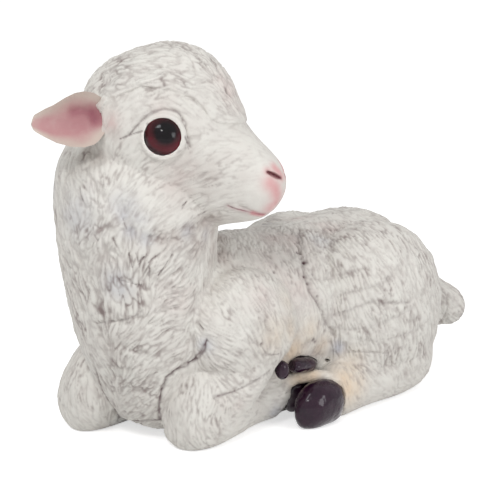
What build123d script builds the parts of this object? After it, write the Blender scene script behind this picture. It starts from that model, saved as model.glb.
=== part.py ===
from build123d import *
import math
import os

os.makedirs("parts", exist_ok=True)

# A lying lamb ornament in cast resin: chest towards -X, rump towards +X, right flank towards +Y.
# The origin is on the table, under the middle of the trunk. Sizes are millimetres.

# Trunk
body_length = 180.0
body_width = 96.0
back_height = 86.0
foot_gap = 0.3
belly_foot_height = 12.0
belly_foot_rim = 4.0

# Neck and chest
neck_inset = 14.0
neck_height = 138.0
neck_width = 70.0
neck_depth = 68.0

# Shoulders and haunches
shoulder_inset = 45.0
shoulder_length = 60.0
shoulder_width = 38.0
shoulder_height = 52.0
shoulder_rise = 50.0
haunch_inset = 49.0
haunch_length = 84.0
haunch_width = 56.0
haunch_height = 84.0
haunch_rise = 39.0
haunch_lean = 2.5

# Head
head_length = 96.0
head_width = 66.0
head_depth = 77.0
head_turn = 118.0
head_nod = 28.0
skull_setback = 6.0
skull_side = 1.5
skull_rise = 4.0
crown_rise = 1.3

# Face details
nostril_length = 8.0
nostril_width = 2.6
nostril_depth = 3.6
mouth_width = 1.2
mouth_depth = 1.3

# Glass eyes
eye_diameter = 18.0
eye_sink = 3.6
eye_back = 2.6
iris_thickness = 0.8
lid_width = 3.0
eye_clearance = 0.1

# Ears
ear_length = 32.0
ear_width = 23.0
ear_thickness = 8.0
ear_wall = 1.6

# Forelegs
knee_inset = 24.0
knee_stagger = 17.0
forearm_length = 56.0
forearm_width = 34.0
forearm_depth = 40.0
elbow_height = 44.0
fore_cannon_length = 78.0
fore_cannon_width = 32.0
fore_cannon_depth = 28.0

# Hind legs
hock_inset = 17.0
hind_cannon_length = 77.0
hind_cannon_width = 28.0
hind_cannon_depth = 32.0

# Hooves
fore_claw_length = 22.0
fore_claw_width = 10.5
fore_claw_depth = 10.5
fore_hoof_lift = 29.0
fore_hoof_tilt = 14.0
dewclaw_length = 8.0
dewclaw_width = 6.0
hind_claw_length = 25.0
hind_claw_width = 17.5
hind_claw_depth = 23.0
hind_inner_claw_width = 13.0
hoof_seat = 5.0
hoof_root = 4.0

# Tail
tail_sink = 10.0
tail_length = 31.0
tail_width = 27.0
tail_depth = 28.0
tail_height = 39.0
tail_side = 14.0
tail_sweep = 10.0
tail_drop = 13.0

# Hollow casting, filling hole, plug and felt
wall = 8.0
fill_hole = 16.0
plug_flange = 22.0
plug_flange_thickness = 2.0
plug_length = 9.0
plug_clearance = 0.1
felt_length = 112.0
felt_width = 34.0
felt_thickness = 1.2
felt_clearance = 0.2

# Dowel that carries the head
dowel_diameter = 8.0
dowel_length = 34.0
dowel_clearance = 0.1
dowel_seat = 17.0

# Run of every cut past the surface that it opens
overrun = 60.0

# Angles of the quarter arcs that outlines are made of
quarter_turn = 90.0

# Places that follow from the sizes above
rump_x = body_length / 2
chest_x = -body_length / 2
neck_x = chest_x + neck_inset
haunch_x = rump_x - haunch_inset
shoulder_x = chest_x + shoulder_inset
hock_x = rump_x - hock_inset
skull_x = neck_x + skull_setback
skull_z = neck_height + skull_rise
eye_radius = eye_diameter / 2


def ring(plane, right, left, up, down):
    """Closed outline of four quarter ellipses: right and left along the plane's x, up and down along its y."""
    turned = Plane(origin=plane.origin, x_dir=plane.y_dir, z_dir=plane.z_dir)
    quarters = []
    for number, (across, along) in enumerate(((right, up), (left, up), (left, down), (right, down))):
        start = quarter_turn * number
        if across >= along:
            quarters.append(Edge.make_ellipse(across, along, plane, start, start + quarter_turn))
        else:
            quarters.append(Edge.make_ellipse(along, across, turned, start - quarter_turn, start))
    return Wire(quarters)


def cross_ring(x, y, z, right, left, up, down):
    """A ring that stands across the x axis, with its right half towards +Y."""
    return ring(Plane(origin=(x, y, z), x_dir=(0, 1, 0), z_dir=(1, 0, 0)), right, left, up, down)


def level_ring(x, y, z, half, front, back):
    """A ring that lies level, with its front towards -X."""
    return ring(Plane(origin=(x, y, z), x_dir=(0, 1, 0), z_dir=(0, 0, 1)), half, half, front, back)


def through(rings):
    """One smooth solid through a row of rings."""
    return Solid.make_loft(rings)


def swelling(x, y, z, length, width, height):
    """An egg shape of the given size about a point."""
    return Pos(x, y, z) * scale(Sphere(1), by=(length / 2, width / 2, height / 2))


def main_solid(shape):
    """The largest solid of a cut shape, without the crumbs that a cut leaves."""
    return max(shape.solids(), key=lambda one: one.volume)


def below(level):
    """A block that takes away all that lies under a level."""
    return Pos(0, 0, level - overrun / 2) * Box(2 * body_length, 2 * body_length, overrun)


# Trunk rings: place along the length, centre height, half width, height above and below the centre
trunk_shares = (
    (0.00, 0.70, 0.04, 0.045, 0.05),
    (0.02, 0.68, 0.17, 0.20, 0.23),
    (0.07, 0.64, 0.31, 0.34, 0.39),
    (0.17, 0.58, 0.38, 0.42, 0.55),
    (0.31, 0.56, 0.40, 0.425, 0.56),
    (0.48, 0.56, 0.41, 0.395, 0.56),
    (0.64, 0.54, 0.44, 0.405, 0.57),
    (0.78, 0.51, 0.46, 0.445, 0.57),
    (0.89, 0.48, 0.40, 0.43, 0.50),
    (0.95, 0.42, 0.29, 0.285, 0.39),
    (0.99, 0.40, 0.16, 0.16, 0.23),
    (1.00, 0.39, 0.04, 0.045, 0.05),
)

# Neck rings: height, place along and across, half width, depth to the front and to the back
neck_shares = (
    (0.03, 0.15, 0.03, 0.17, 0.13, 0.18),
    (0.05, 0.13, 0.03, 0.26, 0.21, 0.24),
    (0.165, 0.09, 0.03, 0.37, 0.35, 0.32),
    (0.31, 0.03, 0.015, 0.415, 0.43, 0.38),
    (0.45, 0.00, 0.015, 0.46, 0.47, 0.44),
    (0.59, 0.00, 0.03, 0.485, 0.51, 0.50),
    (0.735, 0.015, 0.04, 0.50, 0.555, 0.50),
    (0.86, 0.03, 0.07, 0.485, 0.54, 0.485),
    (0.96, 0.03, 0.085, 0.40, 0.39, 0.40),
    (1.00, 0.03, 0.085, 0.12, 0.12, 0.12),
)
all_rows = slice(None)
core_trunk_rows = slice(3, 9)
core_neck_rows = slice(2, 6)
haunch_sink_share = 0.75


def trunk(inset, rows):
    """The barrel of the body through some rows of its table, drawn in by an inset."""
    rings = []
    for along, centre, half, up, down in trunk_shares[rows]:
        x = chest_x + along * body_length
        half_width = half * body_width - inset
        rings.append(cross_ring(x, 0, centre * back_height, half_width, half_width,
                                up * back_height - inset, down * back_height - inset))
    return through(rings)


def neck(inset, rows):
    """The chest and neck as one upright column through some rows of its table, drawn in by an inset."""
    rings = []
    for level, along, side, half, front, back in neck_shares[rows]:
        rings.append(level_ring(neck_x + along * neck_depth, side * neck_width, level * neck_height,
                                half * neck_width - inset, front * neck_depth - inset, back * neck_depth - inset))
    return through(rings)


# Head
head_plane = Plane(
    origin=(skull_x, skull_side, skull_z),
    x_dir=(
        -math.cos(math.radians(head_turn)) * math.cos(math.radians(head_nod)),
        -math.sin(math.radians(head_turn)) * math.cos(math.radians(head_nod)),
        -math.sin(math.radians(head_nod)),
    ),
    z_dir=(
        -math.cos(math.radians(head_turn)) * math.sin(math.radians(head_nod)),
        -math.sin(math.radians(head_turn)) * math.sin(math.radians(head_nod)),
        math.cos(math.radians(head_nod)),
    ),
)

# Head rings from the back of the skull to the nose: place, half width, height above and below the centre line
head_shares = (
    (0.00, 0.06, 0.05, 0.05),
    (0.02, 0.18, 0.15, 0.16),
    (0.13, 0.39, 0.328, 0.34),
    (0.30, 0.50, 0.463, 0.48),
    (0.49, 0.47, 0.425, 0.52),
    (0.68, 0.33, 0.27, 0.47),
    (0.835, 0.24, 0.21, 0.285),
    (0.94, 0.18, 0.155, 0.18),
    (0.99, 0.09, 0.075, 0.09),
    (1.00, 0.015, 0.015, 0.015),
)
skull_share = 0.295

# Lower edge of the crown's wool, seen from the side of the head: place and height
crown_edge_shares = (
    (-0.05, -0.20),
    (0.10, -0.06),
    (0.19, 0.12),
    (0.25, 0.24),
    (0.36, 0.31),
    (0.46, 0.335),
    (0.55, 0.30),
    (0.60, 0.27),
    (0.68, 0.275),
    (0.80, 0.29),
)
eye_shares = (0.466, 0.46, 0.095)
eye_aim_shares = (0.17, 0.96, 0.22)
ear_root_shares = (0.18, 0.39, -0.03)
ear_aim_shares = (-0.605, 0.732, -0.3125)
ear_cup_shares = (0.497, 0.654, 0.570)
nostril_shares = (0.934, 0.09, 0.13)
nostril_aim_shares = (0.60, 0.58, 0.56)
nostril_run_shares = (0.70, 0.70, -0.13)
lid_sink_share = 1 / 3
mouth_start_share = 0.86
mouth_level_share = -0.095


def head_point(shares, side):
    """A place on the head from its shares of length, width and depth. Side is 1 for left, -1 for right."""
    along, out, up = shares
    return ((along - skull_share) * head_length, side * out * head_width, up * head_depth)


def skull(inset):
    """Skull and muzzle in the head's own frame: nose along x, left along y."""
    rings = []
    for along, half, up, down in head_shares:
        least = half * head_width - inset
        if least <= 0:
            continue
        x = (along - skull_share) * head_length
        rings.append(cross_ring(x, 0, 0, least, least, up * head_depth - inset, down * head_depth - inset))
    return through(rings)


def crown():
    """Wool on top of the skull, standing over the face as far as the named rise, with a waved lower edge."""
    places = []
    for along, level in crown_edge_shares:
        places.append(((along - skull_share) * head_length, 0, level * head_depth))
    first, last = places[0], places[-1]
    top = Polyline(last, (last[0], 0, head_depth), (first[0], 0, head_depth), first)
    side_view = make_face([Spline(places), top])
    grown = scale(skull(0), by=1 + 2 * crown_rise / head_depth)
    return grown & extrude(side_view, head_width, dir=(0, 1, 0), both=True)


def eye_plane(side):
    """Frame of one eye: its middle, with z looking out."""
    along, out, up = eye_aim_shares
    return Plane(origin=head_point(eye_shares, side), x_dir=(up, 0, -along), z_dir=(along, side * out, up))


def eye_ball(side, radius, back):
    """A ball with a flat back, sunk behind the surface of the cheek."""
    ball = Sphere(radius)
    ball -= Pos(0, 0, -back - overrun / 2) * Box(overrun, overrun, overrun)
    return eye_plane(side).location * Pos(0, 0, -eye_sink) * ball


def eye_lens(side):
    """Clear glass dome."""
    return eye_ball(side, eye_radius, eye_back)


def eye_iris(side):
    """Painted disc behind the dome."""
    disc_radius = math.sqrt(eye_radius ** 2 - eye_back ** 2)
    disc = Pos(0, 0, -eye_sink - eye_back - iris_thickness / 2) * Cylinder(disc_radius, iris_thickness)
    return eye_plane(side).location * disc


def eye_socket(side):
    """Room for the glass eye and its iris, with a flat floor."""
    depth = eye_back + iris_thickness + eye_clearance
    socket = eye_ball(side, eye_radius + eye_clearance, eye_back)
    disc_radius = math.sqrt(eye_radius ** 2 - eye_back ** 2) + eye_clearance
    floor = Pos(0, 0, -eye_sink - depth / 2) * Cylinder(disc_radius, depth)
    return socket + eye_plane(side).location * floor


def eyelid(side):
    """Rounded rim that holds the eye in."""
    return eye_plane(side).location * Torus(eye_radius - lid_sink_share * lid_width / 2, lid_width / 2)


# Ear rings from root to tip: place along, half width, bend towards the cup, thickness to the cup and to the back
ear_shares = (
    (0.00, 0.20, 0.00, 0.30, 0.30),
    (0.12, 0.34, 0.02, 0.36, 0.42),
    (0.34, 0.48, 0.04, 0.34, 0.50),
    (0.58, 0.50, 0.04, 0.30, 0.48),
    (0.79, 0.38, 0.00, 0.24, 0.38),
    (0.95, 0.18, -0.10, 0.16, 0.22),
    (1.00, 0.04, -0.14, 0.05, 0.05),
)
ear_cup_rows = slice(1, 6)


def ear_leaf(inset, lift, rows):
    """A leaf along x that opens towards z, drawn in by an inset and lifted towards the opening."""
    rings = []
    for along, half, bend, cup, back in ear_shares[rows]:
        half_width = half * ear_width - inset
        rings.append(cross_ring(along * ear_length, 0, bend * ear_thickness + lift, half_width, half_width,
                                cup * ear_thickness, back * ear_thickness))
    return through(rings)


def ear_place(side):
    """Frame of one ear: x out along the leaf, z out of its cup."""
    aim, out, up = ear_aim_shares
    cup, cup_out, cup_up = ear_cup_shares
    return Plane(origin=head_point(ear_root_shares, side), x_dir=(aim, side * out, up),
                 z_dir=(cup, side * cup_out, cup_up)).location


def ear_blank(side):
    """The ear before its cup is hollowed, as its pocket in the head fits it."""
    return ear_place(side) * ear_leaf(0, 0, slice(None))


def ear(side):
    """Cupped ear."""
    cup = ear_leaf(ear_wall, ear_thickness / 2, ear_cup_rows)
    return ear_blank(side) - ear_place(side) * cup


def nostril(side):
    """Slanting slot with a round bottom at one side of the nose."""
    along, out, up = nostril_aim_shares
    run, inward, drop = nostril_run_shares
    place = Plane(origin=head_point(nostril_shares, side), x_dir=(run, -side * inward, drop),
                  z_dir=(along, side * out, up))
    return place.location * scale(Sphere(1), by=(nostril_length / 2, nostril_width / 2, nostril_depth / 2))


def mouth():
    """Groove round the front of the muzzle, as deep as the named depth."""
    start = (mouth_start_share - skull_share) * head_length
    band = Pos(start + overrun / 2, 0, mouth_level_share * head_depth) * Box(overrun, head_width, mouth_width)
    return band - skull(mouth_depth)


def head():
    """Skull with its crown and lids, before its sockets are cut, in the head's own frame."""
    shape = skull(0) + crown()
    for side in (1, -1):
        shape += eyelid(side)
    return shape


def on_head(shape):
    """Moves a shape from the head's frame to its place on the lamb."""
    return head_plane.location * shape


# Limb tables, from the front end to the back end: place along, place across, height, half width, half depth
forearm_shares = (
    (0.00, 0.26, 0.32, 0.09, 0.08),
    (0.05, 0.26, 0.34, 0.32, 0.30),
    (0.16, 0.26, 0.39, 0.47, 0.43),
    (0.32, 0.27, 0.48, 0.50, 0.50),
    (0.49, 0.29, 0.61, 0.50, 0.48),
    (0.73, 0.30, 0.78, 0.44, 0.42),
    (0.95, 0.28, 0.92, 0.34, 0.30),
    (1.00, 0.28, 0.95, 0.09, 0.08),
)
fore_cannon_shares = (
    (0.00, 0.27, 0.46, 0.12, 0.14),
    (0.05, 0.27, 0.46, 0.41, 0.48),
    (0.23, 0.27, 0.45, 0.50, 0.50),
    (0.46, 0.25, 0.43, 0.41, 0.43),
    (0.69, 0.24, 0.43, 0.36, 0.40),
    (0.85, 0.25, 0.50, 0.35, 0.40),
    (0.95, 0.26, 0.58, 0.28, 0.32),
    (1.00, 0.26, 0.60, 0.10, 0.10),
)
hind_cannon_shares = (
    (0.00, 0.42, 0.375, 0.11, 0.09),
    (0.08, 0.42, 0.375, 0.39, 0.375),
    (0.27, 0.41, 0.41, 0.43, 0.41),
    (0.51, 0.40, 0.44, 0.46, 0.44),
    (0.76, 0.38, 0.50, 0.50, 0.50),
    (0.95, 0.33, 0.53, 0.43, 0.44),
    (1.00, 0.31, 0.53, 0.14, 0.125),
)
knee_lead_share = 0.27
cannon_lead_share = 0.18
fore_hoof_lead_share = 0.76
fore_hoof_side_share = 0.37
fore_claw_spread_share = 1 / 3
hind_hoof_side_share = 0.46
hind_inner_side_share = 0.32
hind_claw_rise_share = 0.46
dewclaw_lead_share = 0.65
dewclaw_side_share = 0.395


def limb(shares, start, length, width, depth, rise, side):
    """One length of leg along x. Side is -1 for left and 1 for right."""
    rings = []
    for along, across, level, half, thick in shares:
        rings.append(cross_ring(start + along * length, side * across * body_width, level * rise,
                                half * width, half * width, thick * depth, thick * depth))
    return through(rings)


def knee_x(side):
    """Place of a knee along x: the right one lies further forward."""
    if side < 0:
        return chest_x + knee_inset
    return chest_x + knee_inset - knee_stagger


def foreleg(side):
    """Folded foreleg: forearm down to the knee, cannon back along the table."""
    upper = limb(forearm_shares, knee_x(side) - knee_lead_share * forearm_length, forearm_length,
                 forearm_width, forearm_depth, elbow_height, side)
    lower = limb(fore_cannon_shares, knee_x(side) - cannon_lead_share * fore_cannon_length, fore_cannon_length,
                 fore_cannon_width, fore_cannon_depth, fore_cannon_depth, side)
    return upper + lower


def hind_leg(side):
    """Hind cannon from the hock forward to the coronet."""
    return limb(hind_cannon_shares, hock_x - hind_cannon_length, hind_cannon_length,
                hind_cannon_width, hind_cannon_depth, hind_cannon_depth, side)


# Claw rings from the coronet to the toe: place, half width to the outside and to the cleft, height up and down
claw_shares = (
    (0.00, 0.30, 0.24, 0.34, 0.34),
    (0.10, 0.43, 0.36, 0.44, 0.46),
    (0.38, 0.50, 0.44, 0.50, 0.50),
    (0.68, 0.47, 0.40, 0.45, 0.50),
    (0.90, 0.29, 0.24, 0.25, 0.40),
    (1.00, 0.05, 0.05, 0.05, 0.10),
)


def claw(length, width, depth, outside):
    """One claw along x, rounder on its outer side. Outside is 1 when that side is towards +Y."""
    rings = []
    for along, out, cleft, up, down in claw_shares:
        right = out if outside > 0 else cleft
        left = cleft if outside > 0 else out
        rings.append(cross_ring(along * length, 0, 0, right * width, left * width, up * depth, down * depth))
    return through(rings)


def fore_hoof(side):
    """Two claws folded up behind the fetlock against the belly."""
    middle = side * fore_hoof_side_share * body_width
    start = knee_x(side) + (fore_hoof_lead_share - cannon_lead_share) * fore_cannon_length
    pair = []
    for outside in (1, -1):
        blank = claw(fore_claw_length, fore_claw_width, fore_claw_depth, outside)
        pair.append(Pos(0, outside * fore_claw_spread_share * fore_claw_width, 0) * blank)
    return Pos(start, middle, fore_hoof_lift) * Rot(0, fore_hoof_tilt, 0) * (pair[0] + pair[1])


def dewclaw(side):
    """Small spur that shows above the fetlock."""
    spur = scale(Sphere(1), by=(dewclaw_width / 2, dewclaw_width / 2, dewclaw_length / 2))
    spur_x = knee_x(side) + (dewclaw_lead_share - cannon_lead_share) * fore_cannon_length
    return Pos(spur_x, side * dewclaw_side_share * body_width, fore_hoof_lift) * spur


def hind_hoof(side):
    """The large outer claw and the smaller one beside it, toes forward."""
    start = hock_x - hind_cannon_length + hoof_seat
    level = hind_claw_rise_share * hind_claw_depth
    outer = claw(hind_claw_length, hind_claw_width, hind_claw_depth, -side)
    inner = claw(hind_claw_length, hind_inner_claw_width, hind_claw_depth, side)
    outer = Pos(start, side * hind_hoof_side_share * body_width, level) * Rot(0, 0, 2 * quarter_turn) * outer
    inner = Pos(start, side * hind_inner_side_share * body_width, level) * Rot(0, 0, 2 * quarter_turn) * inner
    return outer, inner - outer


# Tail rings from the root to the tip: place along, sideways sweep, drop, half width, half depth
tail_shares = (
    (0.00, 0.00, 0.00, 0.18, 0.17),
    (0.10, 0.10, 0.06, 0.50, 0.50),
    (0.47, 0.40, 0.38, 0.50, 0.465),
    (0.73, 0.70, 0.60, 0.41, 0.39),
    (0.93, 0.90, 0.74, 0.27, 0.27),
    (1.00, 1.00, 0.77, 0.05, 0.04),
)


def tail():
    """Short woolly tail laid towards the left."""
    rings = []
    for along, sweep, drop, half, thick in tail_shares:
        rings.append(cross_ring(rump_x - tail_sink + along * tail_length, -tail_side - sweep * tail_sweep,
                                tail_height - drop * tail_drop, half * tail_width, half * tail_width,
                                thick * tail_depth, thick * tail_depth))
    return through(rings)


def felt():
    """Oval felt under the belly, standing a little proud of the casting."""
    return Pos(0, 0, felt_thickness / 2) * extrude(Ellipse(felt_length / 2, felt_width / 2), felt_thickness / 2,
                                                   both=True)


def felt_recess():
    """Shallow pocket for the felt in the flat base."""
    oval = Ellipse(felt_length / 2 + felt_clearance, felt_width / 2 + felt_clearance)
    return extrude(oval, felt_thickness, both=True)


def plug():
    """Stopper for the filling hole: a flange under the casting and a stem in the hole."""
    flange = Cylinder(plug_flange / 2, plug_flange_thickness, align=(Align.CENTER, Align.CENTER, Align.MIN))
    stem = Cylinder(fill_hole / 2 - plug_clearance, plug_length, align=(Align.CENTER, Align.CENTER, Align.MIN))
    return Pos(0, 0, felt_thickness) * (flange + stem)


def fill_opening():
    """Filling hole through the base, with a seat for the plug's flange."""
    hole = Cylinder(fill_hole / 2, wall + overrun)
    seat_depth = felt_thickness + plug_flange_thickness
    seat = Cylinder(plug_flange / 2 + plug_clearance, seat_depth, align=(Align.CENTER, Align.CENTER, Align.MIN))
    return hole + seat


def dowel(clearance):
    """Upright pin between neck and skull, grown by a clearance for its holes."""
    middle = Pos(skull_x, skull_side, dowel_base() + dowel_length / 2)
    return middle * Cylinder(dowel_diameter / 2 + clearance, dowel_length + 2 * clearance)


def dowel_base():
    """Level of the pin's lower end, above the hollow of the neck."""
    return skull_z - head_depth / 2 - dowel_seat


def core(depth):
    """All that lies a depth or more under the outside of trunk and neck."""
    return trunk(depth, core_trunk_rows) + neck(depth, core_neck_rows)


def body():
    """Trunk, chest and neck in one casting with the tops of the legs. The lamb leans, so its left haunch is higher."""
    shape = trunk(0, all_rows) + neck(0, all_rows)
    for side in (-1, 1):
        shape += swelling(haunch_x, side * (body_width - haunch_sink_share * haunch_width) / 2,
                          haunch_rise - side * haunch_lean, haunch_length, haunch_width, haunch_height)
        shape += swelling(shoulder_x, side * (body_width - shoulder_width) / 2, shoulder_rise,
                          shoulder_length, shoulder_width, shoulder_height)
    oval = Ellipse(felt_length / 2 + belly_foot_rim, felt_width / 2 + belly_foot_rim)
    shape += extrude(oval, belly_foot_height)
    return shape - below(foot_gap)


def save(name, shape):
    """Writes one node."""
    shape.label = name
    export_step(shape, "parts/" + name + ".step")


# Each hoof keeps its whole form down to its root in the trunk's side, and body and legs give way to it
blank_head = on_head(head())
ground = below(foot_gap)
fore_hooves = {}
hind_hooves = {}
for side in (-1, 1):
    folded = [main_solid(piece - core(hoof_root)) for piece in (fore_hoof(side), dewclaw(side))]
    fore_hooves[side] = folded
    hind_hooves[side] = [main_solid(piece - core(hoof_root) - folded[0] - ground) for piece in hind_hoof(side)]


def without_hooves(shape, sides):
    """A shape with a seat cut for each hoof of the given sides."""
    for side in sides:
        for piece in fore_hooves[side] + hind_hooves[side]:
            shape -= piece
    return main_solid(shape)


body_blank = body() - blank_head
body_outer = without_hooves(body_blank, (-1, 1))
hollow = core(wall) - below(wall + foot_gap)
body_casting = body_outer - hollow - felt_recess() - fill_opening() - dowel(dowel_clearance)
save("body_casting", main_solid(body_casting))
save("felt_pad", felt())
save("fill_plug", plug())
save("head_dowel", dowel(0))

head_casting = head()
for side in (1, -1):
    head_casting -= eye_socket(side)
    head_casting -= ear_blank(side)
    head_casting -= nostril(side)
head_casting -= mouth()
head_casting = on_head(main_solid(head_casting)) - dowel(dowel_clearance)
save("head_casting", main_solid(head_casting))
for side, name in ((1, "left"), (-1, "right")):
    save("eye_" + name + "_lens", on_head(eye_lens(side)))
    save("eye_" + name + "_iris", on_head(eye_iris(side)))
    save("ear_" + name, on_head(main_solid(ear(side))))

for side, name in ((-1, "left"), (1, "right")):
    front = foreleg(side) - body_blank - ground
    hind = hind_leg(side) - body_blank - front - ground
    save("foreleg_" + name, without_hooves(front, (side,)))
    save("hind_leg_" + name, without_hooves(hind, (side,)))
    save("fore_hoof_" + name, Compound(fore_hooves[side]))
    save("hind_hoof_" + name, Compound(hind_hooves[side]))

save("tail", main_solid(tail() - body_blank))
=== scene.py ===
"""Lying lamb ornament: carved and painted skin, ears, glass eyes and enamelled hooves round the castings."""

import math

import bpy
import numpy as np
from bpy.props import FloatProperty, FloatVectorProperty, IntProperty, PointerProperty
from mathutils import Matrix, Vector


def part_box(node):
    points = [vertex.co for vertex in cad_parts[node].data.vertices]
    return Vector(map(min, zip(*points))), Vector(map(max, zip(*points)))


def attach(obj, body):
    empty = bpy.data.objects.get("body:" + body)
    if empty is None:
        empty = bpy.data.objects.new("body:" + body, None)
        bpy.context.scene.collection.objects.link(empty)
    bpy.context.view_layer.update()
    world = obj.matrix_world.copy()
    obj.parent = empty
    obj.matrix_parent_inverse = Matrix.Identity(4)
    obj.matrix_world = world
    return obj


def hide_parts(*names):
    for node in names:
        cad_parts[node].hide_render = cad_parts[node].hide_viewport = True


bl_info = {
    "name": "Lying lamb ornament",
    "version": (1, 0, 0),
    "blender": (4, 5, 0),
    "location": "View3D > Sidebar > Lamb",
    "description": "Carved, painted and glazed pieces round the castings of a lying lamb",
    "category": "Object",
}

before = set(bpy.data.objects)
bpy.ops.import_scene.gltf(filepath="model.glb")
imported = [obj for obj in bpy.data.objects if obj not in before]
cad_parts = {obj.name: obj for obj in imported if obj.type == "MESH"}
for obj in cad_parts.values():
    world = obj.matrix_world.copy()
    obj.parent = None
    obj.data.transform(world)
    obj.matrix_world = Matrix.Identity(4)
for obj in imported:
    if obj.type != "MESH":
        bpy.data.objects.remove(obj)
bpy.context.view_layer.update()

MM = 0.001
PHOTO_SIDE = 500
SENSOR = 36.0

# Castings that share one skin, in the order of the skin's part numbers
CASTINGS = (
    "body_casting", "head_casting", "foreleg_left", "foreleg_right",
    "hind_leg_left", "hind_leg_right", "tail", "fill_plug",
)
BODY, HEAD, FORELEG_LEFT, FORELEG_RIGHT, HIND_LEFT, HIND_RIGHT, TAIL, PLUG = range(len(CASTINGS))

# Head frame, as the castings hold it
HEAD_TURN = math.radians(118)
HEAD_NOD = math.radians(28)
SKULL = np.array((-0.070, 0.0015, 0.142))
NOSE_WAY = np.array((
    -math.cos(HEAD_TURN) * math.cos(HEAD_NOD),
    -math.sin(HEAD_TURN) * math.cos(HEAD_NOD),
    -math.sin(HEAD_NOD),
))
CROWN_WAY = np.array((
    -math.cos(HEAD_TURN) * math.sin(HEAD_NOD),
    -math.sin(HEAD_TURN) * math.sin(HEAD_NOD),
    math.cos(HEAD_NOD),
))
LEFT_WAY = np.cross(CROWN_WAY, NOSE_WAY)

# Places deep inside the castings, from the neck to the rump
DEEP_PLACES = np.array((
    SKULL, (-0.068, 0, 0.110), (-0.070, 0, 0.080), (-0.068, 0, 0.050), (-0.040, 0, 0.050),
    (-0.010, 0, 0.045), (0.025, 0, 0.045), (0.060, 0, 0.042),
))


# Sizes and colours that a user would change

class LambCarvingSettings(bpy.types.PropertyGroup):
    """Sizes of the carving."""

    grid: FloatProperty(
        name="Grid", description="Spacing of the skin's points",
        default=0.5 * MM, min=0.2 * MM, unit="LENGTH",
    )
    blend_rounds: IntProperty(
        name="Blend", description="Rounds that soften where the castings meet",
        default=14, min=0,
    )
    fine_width: FloatProperty(
        name="Fine strand", description="Width of a fine carved strand",
        default=1.05 * MM, unit="LENGTH",
    )
    fine_length: FloatProperty(
        name="Fine run", description="Length of a fine carved strand",
        default=9 * MM, unit="LENGTH",
    )
    coarse_width: FloatProperty(
        name="Lock", description="Width of a coarse wool lock",
        default=2.2 * MM, unit="LENGTH",
    )
    coarse_length: FloatProperty(
        name="Lock run", description="Length of a coarse wool lock",
        default=10 * MM, unit="LENGTH",
    )
    tuft_width: FloatProperty(
        name="Tuft", description="Width of an overlapping tuft of wool",
        default=4.6 * MM, unit="LENGTH",
    )
    tuft_length: FloatProperty(
        name="Tuft run", description="How far a tuft slopes back to its root",
        default=7 * MM, unit="LENGTH",
    )
    fore_thinning: FloatProperty(
        name="Fore hoof", description="Height of a fore hoof against its casting",
        default=0.64, min=0.5, max=1,
    )
    hind_thinning: FloatProperty(
        name="Hind hoof", description="Height of a hind hoof against its casting",
        default=0.94, min=0.5, max=1,
    )
    crown_step: FloatProperty(
        name="Crown step",
        description="How far the crown's scalloped edge stands over the casting's own step",
        default=0.5 * MM, unit="LENGTH",
    )


class LambPaintSettings(bpy.types.PropertyGroup):
    """Colours of the paint."""

    cream: FloatVectorProperty(
        name="Cream", description="Ground coat of the fleece",
        default=(0.74, 0.72, 0.67), subtype="COLOR",
    )
    # Dark wash in the grooves, which also stands for painted shade there and under the tufts' tips
    wash_and_shade: FloatVectorProperty(
        name="Wash", description="Thin dark paint left in the grooves",
        default=(0.24, 0.19, 0.18), subtype="COLOR",
    )
    rose: FloatVectorProperty(
        name="Rose", description="Nose, lips and inside of the ears",
        default=(0.66, 0.26, 0.27), subtype="COLOR",
    )
    peach: FloatVectorProperty(
        name="Peach", description="Warm paint round the hooves and belly",
        default=(0.74, 0.56, 0.38), subtype="COLOR",
    )
    # Painted shade, cold grey: the shade of folds and under the jaw
    grey_painted_shade: FloatVectorProperty(
        name="Slate", description="Cold grey paint in shaded folds",
        default=(0.48, 0.50, 0.56), subtype="COLOR",
    )
    # Painted shade, brown-grey: under and behind the jaw, at the ear's root and on the cheek
    brown_painted_shade: FloatVectorProperty(
        name="Umber", description="Brown-grey paint behind the jaw",
        default=(0.42, 0.36, 0.33), subtype="COLOR",
    )
    hoof: FloatVectorProperty(
        name="Hoof", description="Hoof enamel",
        default=(0.016, 0.004, 0.014), subtype="COLOR",
    )
    iris: FloatVectorProperty(
        name="Iris", description="Outer ring of the eye",
        default=(0.085, 0.003, 0.009), subtype="COLOR",
    )
    ear: FloatVectorProperty(
        name="Ear", description="Bare skin inside the ears",
        default=(0.58, 0.49, 0.43), subtype="COLOR",
    )


class LambStageSettings(bpy.types.PropertyGroup):
    """Camera and light."""

    azimuth: FloatProperty(
        name="Azimuth", description="Where the camera stands round the lamb",
        default=math.radians(-44), subtype="ANGLE", unit="ROTATION",
    )
    elevation: FloatProperty(
        name="Elevation", description="How far the camera looks down",
        default=math.radians(14), subtype="ANGLE", unit="ROTATION",
    )
    distance: FloatProperty(
        name="Distance", description="From the camera to the middle of the picture",
        default=0.85, unit="LENGTH",
    )
    target: FloatVectorProperty(
        name="Target", description="Middle of the picture",
        default=(-0.0310, -0.0212, 0.0810), subtype="TRANSLATION", unit="LENGTH",
    )
    lens: FloatProperty(name="Lens", description="Focal length in millimetres", default=137.5)
    key: FloatProperty(
        name="Key light", description="Power of the soft lamp on the left",
        default=1.5, unit="POWER",
    )
    front: FloatProperty(
        name="Front light", description="Power of the small lamp over the camera",
        default=1.7, unit="POWER",
    )
    fill: FloatProperty(
        name="Fill light", description="Power of the lamp on the right",
        default=1.95, unit="POWER",
    )
    sky: FloatProperty(name="Sky", description="Strength of the even light from all round", default=0.55)


def carving():
    return bpy.context.scene.lamb_carving


def paint():
    return bpy.context.scene.lamb_paint


def stage_values():
    return bpy.context.scene.lamb_stage


# Noise, worked out for whole arrays of points

LATTICE = 64
_tables = {}


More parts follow.
